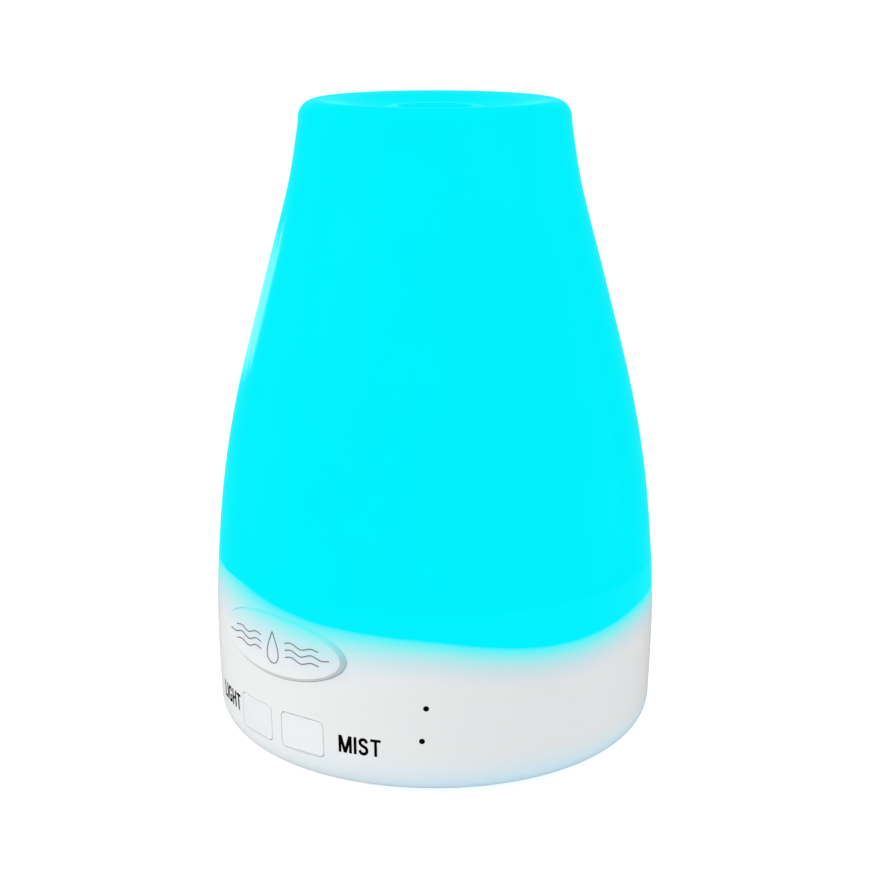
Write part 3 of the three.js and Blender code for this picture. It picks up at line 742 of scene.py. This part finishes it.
def base_shell():
    """The lower housing, with its collar, ledge, button windows and socket hole."""
    seam_r = radius_at(SEAM_Z)
    loop = [
        (38.2, BASE_Z, 0.3),
        *foot_curve(22)[1:],
        *outline(FOOT_Z, SEAM_Z - 0.3, 34),
        (seam_r, SEAM_Z, 0.12),
        (COLLAR_R, SEAM_Z, 0.15),
        (COLLAR_R, 43.5, 0.5),
        (43.4, 43.5, 0.4),
        (43.4, 37.5, 0.2),
        (37, 37.5, 0.3),
        (37, 35.5, 0.3),
        *reversed(outline(FOOT_Z, 35.5, 12, 2.2)),
        *reversed(foot_curve(5, 43.8, 2.2)[1:]),
        (43.1, 4.8),
        (36.2, 4.8, 0.2),
        (36.2, 3.1, 0.1),
        (38.2, 3.1, 0.1),
    ]
    body = turned("base_skin", loop)
    holes = [radial_rings(b, z, [(0.6, 43), (0.6, 50)]) for b, z in INDICATORS.values()]
    bore = [(5.2, 54), (4.9, 47.7), (4.5, 46.9), (4.5, 40)]
    jack = [circle_xz(0, y, JACK_Z, r, 64) for r, y in bore]
    cut(
        body,
        [window_cutter(-BUTTON_X), window_cutter(BUTTON_X), badge_seat()]
        + [lofted("cutter", rings) for rings in holes]
        + [lofted("cutter", jack)],
    )
    follow_outline(body)
    finish_piece(body, "base", "shell_plastic", "base_shell", look=shell)


def button(name, x):
    """A cap with rounded edges that follows the body, its retaining lip and its stem."""
    steps = [(0.0, -4.6), (0.0, -EDGE)]
    for i in range(1, 5):
        a = math.radians(90 * i / 4)
        steps.append((-EDGE * (1 - math.cos(a)), -EDGE * (1 - math.sin(a))))
    steps += [(-EDGE - inset, 0.0) for inset in (0.4, 1.0, 1.7, 2.5, 3.2)]
    rings = []
    for grow, proud in steps:
        ring = rounded_rectangle(*CAP, grow)
        rings.append([on_body(x + px, BUTTON_Z + pz, proud) for px, pz in ring])
    lip_ring = rounded_rectangle(12.4, 9.4, 1)
    lip = [[(x + px, y, BUTTON_Z + pz) for px, pz in lip_ring] for y in (-41.4, -42.3)]
    stem = [circle_xz(x, y, BUTTON_Z, r) for y, r in ((-40.9, 1.4), (-41.1, 1.6), (-41.6, 1.6))]
    cap = lofted(f"{name}_cap", rings, lip, stem)
    follow_outline(cap)
    finish_piece(cap, f"{name}_button", "button_plastic", f"{name}_button")


STROKE = 0.175  # width of a letter's stroke, as a share of its height
LETTER_GAP = 0.13  # between letters, as a share of their height


def bar(x0, x1, z0, z1):
    """A straight upright or level stroke."""
    return [(x0, z0), (x1, z0), (x1, z1), (x0, z1)]


def slanted(bottom, top):
    """A stroke from the foot to the cap line, as wide as a diagonal looks right."""
    wide = STROKE * 1.12
    return [(bottom, 0), (bottom + wide, 0), (top + wide, 1), (top, 1)]


def stroke(points):
    """The outline of a stroke of even width along a smooth line."""
    line = [Vector(p) for p in spline(points, 5)]
    left, right = [], []
    for i, here in enumerate(line):
        along = (line[min(i + 1, len(line) - 1)] - line[max(i - 1, 0)]).normalized()
        across = Vector((-along.y, along.x)) * STROKE / 2
        left.append(tuple(here + across))
        right.append(tuple(here - across))
    return left + right[::-1]


S_LINE = [(0.52, 0.73), (0.45, 0.87), (0.30, 0.92), (0.14, 0.86), (0.09, 0.73)]
S_LINE += [(0.16, 0.60), (0.31, 0.52), (0.47, 0.43)]
S_LINE += [(0.53, 0.28), (0.46, 0.13), (0.30, 0.08), (0.14, 0.13), (0.08, 0.28)]
G_LINE = [(0.61, 0.70), (0.53, 0.86), (0.37, 0.92), (0.19, 0.84), (0.09, 0.62)]
G_LINE += [(0.09, 0.38), (0.19, 0.16), (0.37, 0.08), (0.52, 0.12), (0.62, 0.22)]
# Each letter is its width and its shapes, on a unit cap height.
LETTERS = {
    "L": (0.52, [bar(0, STROKE, 0, 1), bar(STROKE, 0.52, 0, STROKE * 0.9)]),
    "I": (STROKE, [bar(0, STROKE, 0, 1)]),
    "H": (
        0.68,
        [
            bar(0, STROKE, 0, 1),
            bar(0.68 - STROKE, 0.68, 0, 1),
            bar(STROKE, 0.68 - STROKE, 0.44, 0.44 + STROKE * 0.9),
        ],
    ),
    "T": (0.64, [bar(0, 0.64, 1 - STROKE * 0.9, 1), bar(0.235, 0.405, 0, 1 - STROKE * 0.9)]),
    "M": (
        0.86,
        [
            bar(0, STROKE, 0, 1),
            bar(0.86 - STROKE, 0.86, 0, 1),
            slanted(0.43 - STROKE * 0.56, STROKE * 0.1),
            slanted(0.43 - STROKE * 0.56, 0.86 - STROKE * 1.22),
        ],
    ),
    "S": (0.62, [stroke(S_LINE)]),
    "G": (0.72, [stroke(G_LINE), bar(0.56, 0.72, 0.08, 0.5), bar(0.38, 0.56, 0.36, 0.5)]),
}


def label(name, word, bearing, z, wide, tall):
    """A printed word, bent round the base."""
    shapes, pen = [], 0.0
    for letter in word:
        advance, outlines = LETTERS[letter]
        shapes += [[(pen + px, pz) for px, pz in shape] for shape in outlines]
        pen += advance + LETTER_GAP
    length = pen - LETTER_GAP
    bodies = []
    for shape in shapes:
        rings = []
        for proud in (0.01, 0.04):
            ring = []
            for px, pz in shape:
                up = z + (pz - 0.5) * tall
                r = radius_at(up) + proud
                turn = math.degrees((px / length - 0.5) * wide / r)
                ring.append(at_bearing(bearing + turn, r, up))
            rings.append(ring)
        bodies.append(rings)
    finish_piece(lofted(name, *bodies), "base", "smoked_plastic", look=ink)


# ------------------------------------------------------------------ badge
def on_plate(x, z, proud=0.0):
    """The point of the badge's face at x and z, standing proud of it."""
    r = PLATE_R + proud
    return (x, PLATE_R - PLATE_FRONT - math.sqrt(r * r - x * x), z)


def badge():
    """An oval plate that stands out at its ends, with a slanted rim that is widest below."""

    def oval(inset, share=1.0):
        """The face's outline, set a little above the middle of the rim."""
        ring = ellipse((BADGE_A - inset) * share, (BADGE_B - 0.7 * inset) * share)
        return [(x, BADGE_Z + z + 0.42 * inset) for x, z in ring]

    rings = []
    for proud in (-0.55, 0.06, 0.12):
        rings.append([on_body(x, BADGE_Z + z, proud) for x, z in ellipse(BADGE_A, BADGE_B)])
    for inset, sink in ((0.45, 0.03), (0.7, 0.3)):
        rings.append([on_plate(x, z, -sink) for x, z in oval(inset)])
    rim = lofted("badge_rim", rings)
    finish_piece(rim, "base", "badge_plastic", look=shaded_rim_look)
    rings = []
    for inset, sink in ((0.5, 0.35), (0.5, 0.07), (0.52, 0.03), (0.57, 0.0)):
        rings.append([on_plate(x, z, -sink) for x, z in oval(inset)])
    for share in (0.96, 0.88, 0.78, 0.66, 0.54, 0.42, 0.3, 0.18, 0.08):
        rings.append([on_plate(x, z) for x, z in oval(0.57, share)])
    pad = lofted("badge_pad", rings)
    finish_piece(pad, "base", "badge_plastic", "front_badge", look=shell)


def wave(start, end, height, up, crests):
    """A ripple that swells from its inner end and dies away at its outer one."""
    line = []
    for i in range(49):
        t = i / 48
        swell = math.sin(math.pi * min(1, 0.15 + t * 0.85)) ** 0.6
        rise = height * swell * math.sin(2 * math.pi * crests * t)
        line.append((start + (end - start) * t, up + rise))
    return line


def motif():
    """A plain water drop between sets of ripples, in low relief."""
    drop = []
    for i in range(49):
        t = 2 * math.pi * i / 48
        drop.append((2.3 * math.sin(t) * math.sin(t / 2) ** 1.4, 3.4 * math.cos(t) - 0.2))
    lines = [drop]
    for up, end, crests in ((1.5, 12.2, 1.5), (0.0, 14.6, 2.0), (-1.5, 12.2, 1.5)):
        ripple = wave(3.6, end, 0.42, up, crests)
        lines += [ripple, [(-x, z) for x, z in ripple]]
    curve = bpy.data.curves.new("badge_motif", "CURVE")
    curve.dimensions = "3D"
    curve.bevel_depth = 0.12 * MM
    curve.bevel_resolution = 3
    curve.use_fill_caps = True
    for line in lines:
        path = curve.splines.new("POLY")
        path.points.add(len(line) - 1)
        for point, (x, z) in zip(path.points, line):
            spot = Vector(on_plate(x, BADGE_Z + z)) * MM
            point.co = (*spot, 1)
    source = in_scene("badge_motif_line", curve)
    mesh = evaluated(source)
    bpy.data.objects.remove(source)
    mesh.shade_smooth()
    made = in_scene("badge_motif", mesh)
    finish_piece(made, "base", "badge_plastic", look=motif_look)


# ------------------------------------------------------------------ small outside pieces
def indicator(name, bearing, z):
    """A light pipe with a slightly domed end."""
    out = radius_at(z)
    stations = [(0.56, 41.5), (0.56, out - 0.1), (0.5, out - 0.02)]
    stations += [(0.3, out + 0.02), (0.1, out + 0.04)]
    pipe = lofted(f"indicator_dot_{name}", radial_rings(bearing, z, stations))
    finish_piece(pipe, "base", "smoked_plastic", f"indicator_pipe_{name}")


def power_socket():
    """The barrel socket: a block inside and a round nose through the shell."""
    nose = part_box("power_socket")[1].y / MM
    block = []
    for y, grow in ((32.0, -0.3), (32.3, 0.0), (44.3, 0.0), (44.6, -0.3)):
        ring = rounded_rectangle(9, 11.5, 0.8, grow)
        block.append([(px, y, 16.85 + pz) for px, pz in ring])
    profile = [(4.2, 44), (4.2, nose - 0.3), (3.95, nose)]
    profile += [(3.4, nose), (3.2, nose - 0.25), (3.2, 37)]
    rings = [circle_xz(0, y, JACK_Z, r, 56) for r, y in profile]
    body = lofted("power_socket_body", block, rings)
    finish_piece(body, "base", "black_plastic", "power_socket")
    tip = nose - 1
    pin = [(1.05, 36.1), (1.05, tip - 0.35), (0.9, tip - 0.1), (0.55, tip), (0.1, tip)]
    rings = [circle_xz(0, y, JACK_Z, r, 32) for r, y in pin]
    body = lofted("power_socket_contact", rings)
    finish_piece(body, "base", "pin_brass", "power_socket_pin")


def plan_centre(node):
    """The middle of a CAD node seen from above, in millimetres."""
    low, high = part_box(node)
    return ((low + high) / 2 / MM)[:2]


def foot(number):
    """A rubber pad with a moulded ring in its sole."""
    node = f"foot_{number}"
    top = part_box(node)[1].z / MM
    loop = [
        (0, 0),
        (2.6, 0),
        (3.0, 0.15),
        (3.4, 0.15),
        (3.7, 0, 0.1),
        (4.35, 0, 0.4),
        (4.5, 1.0, 0.2),
        (4.4, top, 0.2),
        (0, top),
    ]
    pad = turned(f"foot_pad_{number}", loop, 56, plan_centre(node))
    finish_piece(pad, "base", "foot_rubber", node)


# ------------------------------------------------------------------ tank
def water_tank():
    """The cup with its flange, the seat for the disc in its floor, and a raised fill line."""
    loop = [
        (8, 38.3, 0.1),
        (43.1, 38.3, 0.3),
        (43.1, 40.3, 0.4),
        (37, 40.3, 0.6),
        (37, 76, 0.7),
        (35, 76, 0.7),
        (35, 43, 1.5),
        (33.4, 41.9, 0.8),
        (12, 40.6),
        (9.8, 40, 0.4),
        (8, 40, 0.3),
    ]
    cup = turned("tank_cup", loop)
    duct_x, duct_y = plan_centre("air_duct")
    hole = [(duct_x + x, duct_y + y) for x, y in ellipse(6.3, 6.3, 64)]
    cut(cup, [lofted("cutter", [[(*point, z) for point in hole] for z in (30, 50)])])
    fill = [(34.7, 66.9), (35.1, 66.9), (35.1, 67.5), (34.7, 67.5)]
    line = turned("tank_fill_line", fill)
    finish_piece(line, "base", "tank_plastic")
    finish_piece(cup, "base", "tank_plastic", "water_tank")


def air_duct():
    """The tube that carries the fan's air up through the tank, cut off at a slant."""
    centre = plan_centre("air_duct")
    # Each ring's radius and height, and whether it follows the slant: up outside, down inside.
    stations = [(6.0, 24.0, 0), (6.0, 36.6, 0), (7.2, 36.9, 0), (7.2, 38.0, 0)]
    stations += [(6.0, 38.2, 0), (6.0, 60, 0), (6.0, 76, 1), (5.7, 76.3, 1)]
    stations += [(4.9, 76.3, 1), (4.6, 76, 1), (4.6, 60, 0), (4.6, 24, 0)]
    vertices, rows = [], []
    for r, z, slant in stations:
        rows.append(range(len(vertices), len(vertices) + 64))
        for x, y in ellipse(r, r, 64):
            lift = slant * x * math.tan(math.radians(30))
            vertices.append((centre[0] + x, centre[1] + y, z + lift))
    faces = []
    for near, far in zip(rows, rows[1:] + rows[:1]):
        for i in range(64):
            j = (i + 1) % 64
            faces.append((near[i], near[j], far[j], far[i]))
    tube = new_object("air_duct_tube", vertices, faces)
    finish_piece(tube, "base", "tank_plastic", "air_duct")


def disc():
    """The ultrasonic disc, with a fine groove around its face."""
    loop = [(0, 35.5), (10, 35.5, 0.2), (10, 36.5, 0.2), (6.4, 36.5)]
    loop += [(6.3, 36.42), (6.1, 36.42), (6.0, 36.5), (0, 36.5)]
    made = turned("ultrasonic_disc_face", loop, 96)
    finish_piece(made, "base", "disc_metal", "ultrasonic_disc")


# ------------------------------------------------------------------ underside
POSTS = [at_bearing(bearing, 31, 0)[:2] for bearing in (0, 120, 240)]
BOARD_POSTS = [(-14, 27), (-14, -28.5)]
FEET = (1, 2, 3, 4)
FAN_X, FAN_Y = 20, -4
GRILLE_R, GRILLE_PITCH = 12.6, 3.6
FAN_POSTS = [(FAN_X - 12, FAN_Y - 12), (FAN_X + 12, FAN_Y + 12)]


def rod(place, r, z0, z1, soft=0.0, around=48, name="rod"):
    """A round upright rod with softened ends."""
    return turned(name, [(0, z0), (r, z0, soft), (r, z1, soft), (0, z1)], around, place)


def grille_slot(y):
    """A round-ended slot through the bottom cover under the fan."""
    half = math.sqrt(GRILLE_R**2 - y * y)
    rings = []
    for grow, z in ((0.35, 0.9), (0.0, 1.25), (0.0, 5.0)):
        ring = rounded_rectangle(2 * half, 2, 0.99, grow)
        rings.append([(FAN_X + px, FAN_Y + y + py, z) for px, py in ring])
    return lofted("cutter", rings)


def bottom_cover():
    """The plate under the base, with posts, screw holes, seats for the feet and a grille."""
    plate = turned("bottom_plate", [(0, 1), (37.9, 1, 0.35), (37.9, 3, 0.35), (0, 3)])
    joined(
        plate,
        [rod(place, 4.2, 2.5, 6, 0.3) for place in POSTS]
        + [rod(place, 2.4, 2.5, 9.3, 0.2) for place in BOARD_POSTS]
        + [rod(place, 2.2, 2.5, 5.1, 0.2) for place in FAN_POSTS],
    )
    cut(
        plate,
        [rod(place, 3, 0, 4) for place in POSTS]
        + [rod(place, 1.5, 3.5, 8) for place in POSTS]
        + [rod(place, 1.2, 4, 12) for place in BOARD_POSTS]
        + [rod(place, 1.2, 3, 12) for place in FAN_POSTS]
        + [rod(plan_centre(f"foot_{number}"), 4.8, 0, 2) for number in FEET]
        + [grille_slot(row * GRILLE_PITCH) for row in range(-3, 4)],
    )
    finish_piece(plate, "base", "shell_plastic", "bottom_cover")


# ------------------------------------------------------------------ fasteners
def screw(node, head_r, head_tall, shank_r, upside_down):
    """A cross-headed screw with a domed head and a threaded shank."""
    low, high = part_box(node)
    x, y = plan_centre(node)
    start, way = (high.z / MM, -1) if upside_down else (low.z / MM, 1)
    long = (high.z - low.z) / MM
    steps = [(0, 0), (head_r * 0.6, 0.02), (head_r * 0.9, head_tall * 0.22)]
    steps += [(head_r, head_tall * 0.55), (head_r, head_tall), (shank_r, head_tall)]
    turns = int((long - head_tall - 1.2) / 0.5)
    for i in range(turns):
        at = head_tall + 0.5 + 0.5 * i
        steps += [(shank_r * 0.78, at), (shank_r, at + 0.25)]
    steps += [(shank_r * 0.75, long - 0.5), (0.15, long), (0, long)]
    body = turned(node + "_body", [(r, start + way * z) for r, z in steps], 32, (x, y))
    cutters = []
    for wide, deep in ((head_r * 1.15, 0.32), (0.32, head_r * 1.15)):
        rings = []
        for z, share in ((-0.2, 1.0), (head_tall * 0.6, 0.7)):
            level = start + way * z
            corners = [(-1, -1), (1, -1), (1, 1), (-1, 1)]
            plan = [(x + i * wide / 2 * share, y + j * deep / 2 * share) for i, j in corners]
            rings.append([(*point, level) for point in plan])
        cutters.append(lofted("cutter", rings))
    finish_piece(cut(body, cutters), "base", "screw_steel", node)


# Their names, how many, the head's radius and height, the shank's radius and which way up.
SCREWS = [
    ("bottom_screw_", 3, 2.6, 1.6, 1.2, False),
    ("retainer_screw_", 3, 1.9, 1.2, 0.9, False),
    ("led_screw_", 2, 1.7, 1.1, 0.8, False),
    ("driver_screw_", 2, 2.2, 1.4, 0.9, True),
    ("fan_screw_", 2, 1.9, 1.1, 0.9, True),
]


def screws():
    for stem, count, *sizes in SCREWS:
        for number in range(1, count + 1):
            screw(f"{stem}{number}", *sizes)


# ------------------------------------------------------------------ seals and components
def seals():
    """The gasket under the tank, and the disc's seal and retaining ring."""
    gasket = [(38.4, 37.6, 0.2), (42.7, 37.6, 0.2), (42.7, 38.2, 0.2), (38.4, 38.2, 0.2)]
    made = turned("tank_gasket_ring", gasket)
    finish_piece(made, "base", "silicone", "tank_gasket")
    lips = [(8.2, 33.95, 0.3), (11.1, 33.95, 0.3), (11.1, 38.2, 0.3), (8.2, 38.2, 0.5)]
    lips += [(8.2, 36.7, 0.2), (10.3, 36.7, 0.1), (10.3, 35.3, 0.1), (8.2, 35.3, 0.2)]
    made = turned("disc_seal_ring", lips, 96)
    finish_piece(made, "base", "silicone", "disc_seal")
    ring = [(8.4, 29.9, 0.3), (17.8, 29.9, 0.4), (17.8, 31.8, 0.4)]
    ring += [(11, 31.8, 0.3), (11, 33.85, 0.2), (8.4, 33.85, 0.2)]
    made = turned("disc_retainer_ring", ring, 96)
    holes = [rod(at_bearing(bearing, 15.4, 0)[:2], 1.2, 28, 33) for bearing in (60, 180, 300)]
    finish_piece(cut(made, holes), "base", "white_plastic", "disc_retainer")


def capacitor(node):
    """A sleeved can with a rolled groove, and its scored metal top."""
    low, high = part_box(node)
    place = plan_centre(node)
    r, z0, z1 = (high.x - low.x) / 2 / MM, low.z / MM, high.z / MM
    can = [(0, z0), (r, z0, 0.3), (r, z0 + 1, 0.2), (r - 0.4, z0 + 1.5, 0.4), (r, z0 + 2, 0.2)]
    can += [(r, z1 - 0.1, 0.35), (r - 0.75, z1 - 0.05), (r - 0.8, z1 - 0.3), (0, z1 - 0.3)]
    made = turned(node + "_sleeve", can, 64, place)
    finish_piece(made, "base", "capacitor_sleeve", node)
    lid = rod(place, r - 0.85, z1 - 0.6, z1 - 0.12, 0.1, 64, node + "_lid")
    scores = []
    for i in range(3):
        c, s = math.cos(math.radians(60 * i)), math.sin(math.radians(60 * i))
        side = [(-r * 0.7, -0.1), (r * 0.7, -0.1), (r * 0.7, 0.1), (-r * 0.7, 0.1)]
        line = [(place[0] + x * c - y * s, place[1] + x * s + y * c) for x, y in side]
        scores.append(lofted("cutter", [[(*p, z) for p in line] for z in (z1 - 0.22, z1 + 1)]))
    finish_piece(cut(lid, scores), "base", "heat_sink_aluminium")


def drum_coil(node):
    """A ferrite drum with wire wound between its flanges."""
    low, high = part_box(node)
    place = plan_centre(node)
    r, z0, z1 = (high.x - low.x) / 2 / MM, low.z / MM, high.z / MM
    drum = [(0, z0), (r, z0, 0.25), (r, z0 + 1, 0.25), (r * 0.5, z0 + 1.1, 0.2)]
    drum += [(r * 0.5, z1 - 1.1, 0.2), (r, z1 - 1, 0.25), (r, z1, 0.25), (0, z1)]
    made = turned(node + "_drum", drum, 64, place)
    finish_piece(made, "base", "black_plastic", node)
    wire = [(r * 0.5, z0 + 1.15)]
    count = int((z1 - z0 - 2.3) / 0.5)
    for i in range(count):
        level = z0 + 1.2 + 0.5 * i
        wire += [(r - 0.95, level), (r - 0.78, level + 0.12)]
        wire += [(r - 0.72, level + 0.25), (r - 0.78, level + 0.38)]
    wire += [(r - 0.95, z0 + 1.2 + 0.5 * count), (r * 0.5, z1 - 1.15)]
    made = turned(node + "_winding", wire, 64, place)
    finish_piece(made, "base", "coil")


def impeller():
    """The fan's hub, with seven curved blades rising as they sweep back."""
    x, y = plan_centre("fan_impeller")
    z0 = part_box("fan_impeller")[0].z / MM
    hub = [(0, z0), (7.2, z0, 0.4), (7.2, z0 + 7.2), (6.9, z0 + 7.7), (6.3, z0 + 8), (0, z0 + 8)]
    vertices, faces = turned_faces(hub, 64, (x, y))
    for blade in range(7):
        rings = []
        for i in range(7):
            r = 6.6 + 6.0 * i / 6
            ring = []
            for side in (-0.4, 0.4):
                for j in range(9):
                    t = (j if side < 0 else 8 - j) / 8
                    bow = 0.5 * math.sin(math.pi * t)
                    across = (t - 0.5) * 6.6
                    a = math.radians(360 / 7 * blade) + (across - side * 0.6) / (r * 1.02)
                    level = z0 + 4 + (t - 0.5) * 5.2 + side * 0.8 + bow
                    ring.append((x + r * math.cos(a), y + r * math.sin(a), level))
            rings.append(ring)
        more, around = loft_faces(rings, len(vertices))
        vertices += more
        faces += around
    made = new_object("fan_impeller_blades", vertices, faces)
    finish_piece(made, "impeller", "black_plastic", "fan_impeller")


# ------------------------------------------------------------------ camera, light and floor
CAMERA_BEARING = math.radians(43.3)
CAMERA_REACH, CAMERA_Z = 0.3879, 0.16372  # its distance from the axis and its height
AIM_Z = 0.06369  # the height on the axis that it looks at
ROOM_LIGHT, ROOM_REFLECTED, ROOM_SEEN = 0.6, 0.15, 1.0  # the room's strength for each kind of ray

# Name, bearing from the camera's own, elevation, distance, width, height and watts.
LIGHTS = [
    ("key", -62, 30, 0.9, 0.6, 0.8, 2.35),
    ("fill", 48, 18, 1.0, 0.8, 0.8, 1.0),
    ("overhead", 0, 88, 1.0, 0.9, 0.9, 2.0),
    ("side_left", -100, 12, 0.9, 0.5, 0.8, 0.5),
    ("side_right", 98, 10, 0.9, 0.5, 0.8, 0.8),
    # A row of small panels behind the left limb, dimmer towards the back.
    ("edge_near", -139.5, 3, 0.35, 0.043, 0.054, 0.04),
    ("edge_middle", -147.5, 0.2, 0.35, 0.057, 0.054, 0.022),
    ("edge_far", -158, -2.7, 0.35, 0.073, 0.05, 0.01),
]


def aimed(made, direction):
    """Turns a camera or a light to look along a direction."""
    made.rotation_mode = "QUATERNION"
    made.rotation_quaternion = direction.to_track_quat("-Z", "Y")


def camera():
    made = in_scene("camera", bpy.data.cameras.new("camera"))
    x, y = CAMERA_REACH * math.sin(CAMERA_BEARING), -CAMERA_REACH * math.cos(CAMERA_BEARING)
    made.location = (x, y, CAMERA_Z)
    aimed(made, Vector((0, 0, AIM_Z)) - made.location)
    made.data.sensor_width = 36
    made.data.lens = 76.58
    made.data.shift_x = 0.0029
    made.data.clip_start, made.data.clip_end = 0.01, 100
    bpy.context.scene.camera = made


def soft_light(name, azimuth, elevation, far, wide, tall, watts):
    """A softbox that faces the object."""
    data = bpy.data.lights.new(name, "AREA")
    data.shape = "RECTANGLE"
    data.size, data.size_y = wide, tall
    data.energy = watts
    made = in_scene(name, data)
    a, e = CAMERA_BEARING + math.radians(azimuth), math.radians(elevation)
    back = Vector((math.sin(a) * math.cos(e), -math.cos(a) * math.cos(e), math.sin(e)))
    made.location = Vector((0, 0, AIM_Z)) + back * far
    aimed(made, -back)
    made.visible_camera = False


def surroundings():
    """A white room, dimmer as a light than it looks, and dimmer still in reflections."""
    world = bpy.data.worlds.new("studio")
    bpy.context.scene.world = world
    world.use_nodes = True
    tree = world.node_tree
    background = tree.nodes["Background"]
    path = tree.nodes.new("ShaderNodeLightPath")
    by_ray = tree.nodes.new("ShaderNodeMix")
    by_ray.inputs[2].default_value, by_ray.inputs[3].default_value = ROOM_LIGHT, ROOM_REFLECTED
    tree.links.new(path.outputs["Is Glossy Ray"], by_ray.inputs[0])
    seen = tree.nodes.new("ShaderNodeMix")
    tree.links.new(path.outputs["Is Camera Ray"], seen.inputs[0])
    tree.links.new(by_ray.outputs[0], seen.inputs[2])
    seen.inputs[3].default_value = ROOM_SEEN
    background.inputs["Color"].default_value = (1, 1, 1, 1)
    tree.links.new(seen.outputs[0], background.inputs["Strength"])


def floor():
    """A pale floor that can be looked through from below."""
    half = 20000
    corners = [(-half, -half, 0), (half, -half, 0), (half, half, 0), (-half, half, 0)]
    made = new_object("floor", corners, [(0, 1, 2, 3)])
    s = Shader("floor", Roughness=0.6, Specular_IOR_Level=0.1)
    s.set(Base_Color=s.blend(s.noise(200), (0.86, 0.86, 0.86, 1), (0.88, 0.88, 0.88, 1)))
    seen = s.add("ShaderNodeLightPath", {}, output="Is Camera Ray")
    s.set(Emission_Color=(1, 1, 1, 1), Emission_Strength=s.between(seen, 0.1, 0.7))
    below = s.add("ShaderNodeNewGeometry", {}, output="Backfacing")
    clear = s.add("ShaderNodeBsdfTransparent", {})
    both = s.add("ShaderNodeMixShader", {0: below, 1: s.surface.outputs[0], 2: clear})
    s.tree.links.new(both, s.tree.nodes["Material Output"].inputs["Surface"])
    made.data.materials.append(s.material)
    made.visible_glossy = False


def studio():
    camera()
    for light in LIGHTS:
        soft_light(*light)
    surroundings()
    floor()
    bpy.context.scene.view_settings.view_transform = "Standard"


# ------------------------------------------------------------------ everything together
studio()
upper_cover()
base_shell()
button("light", -BUTTON_X)
button("mist", BUTTON_X)
label("label_light", "LIGHT", -22.3, 12.4, 10.0, 3.6)
label("label_mist", "MIST", 24.7, 11.8, 9.0, 3.7)
badge()
motif()
for title, (bearing, height) in INDICATORS.items():
    indicator(title, bearing, height)
power_socket()
for number in FEET:
    foot(number)
water_tank()
air_duct()
disc()
bottom_cover()
screws()
seals()
capacitor("capacitor_large")
capacitor("capacitor_small")
drum_coil("drive_inductor")
drum_coil("boost_inductor")
impeller()

for name, node in frame["nodes"].items():
    for place in node.material_slots:
        place.link = "OBJECT"
        place.material = LOOKS[SLOT_OF[name]]
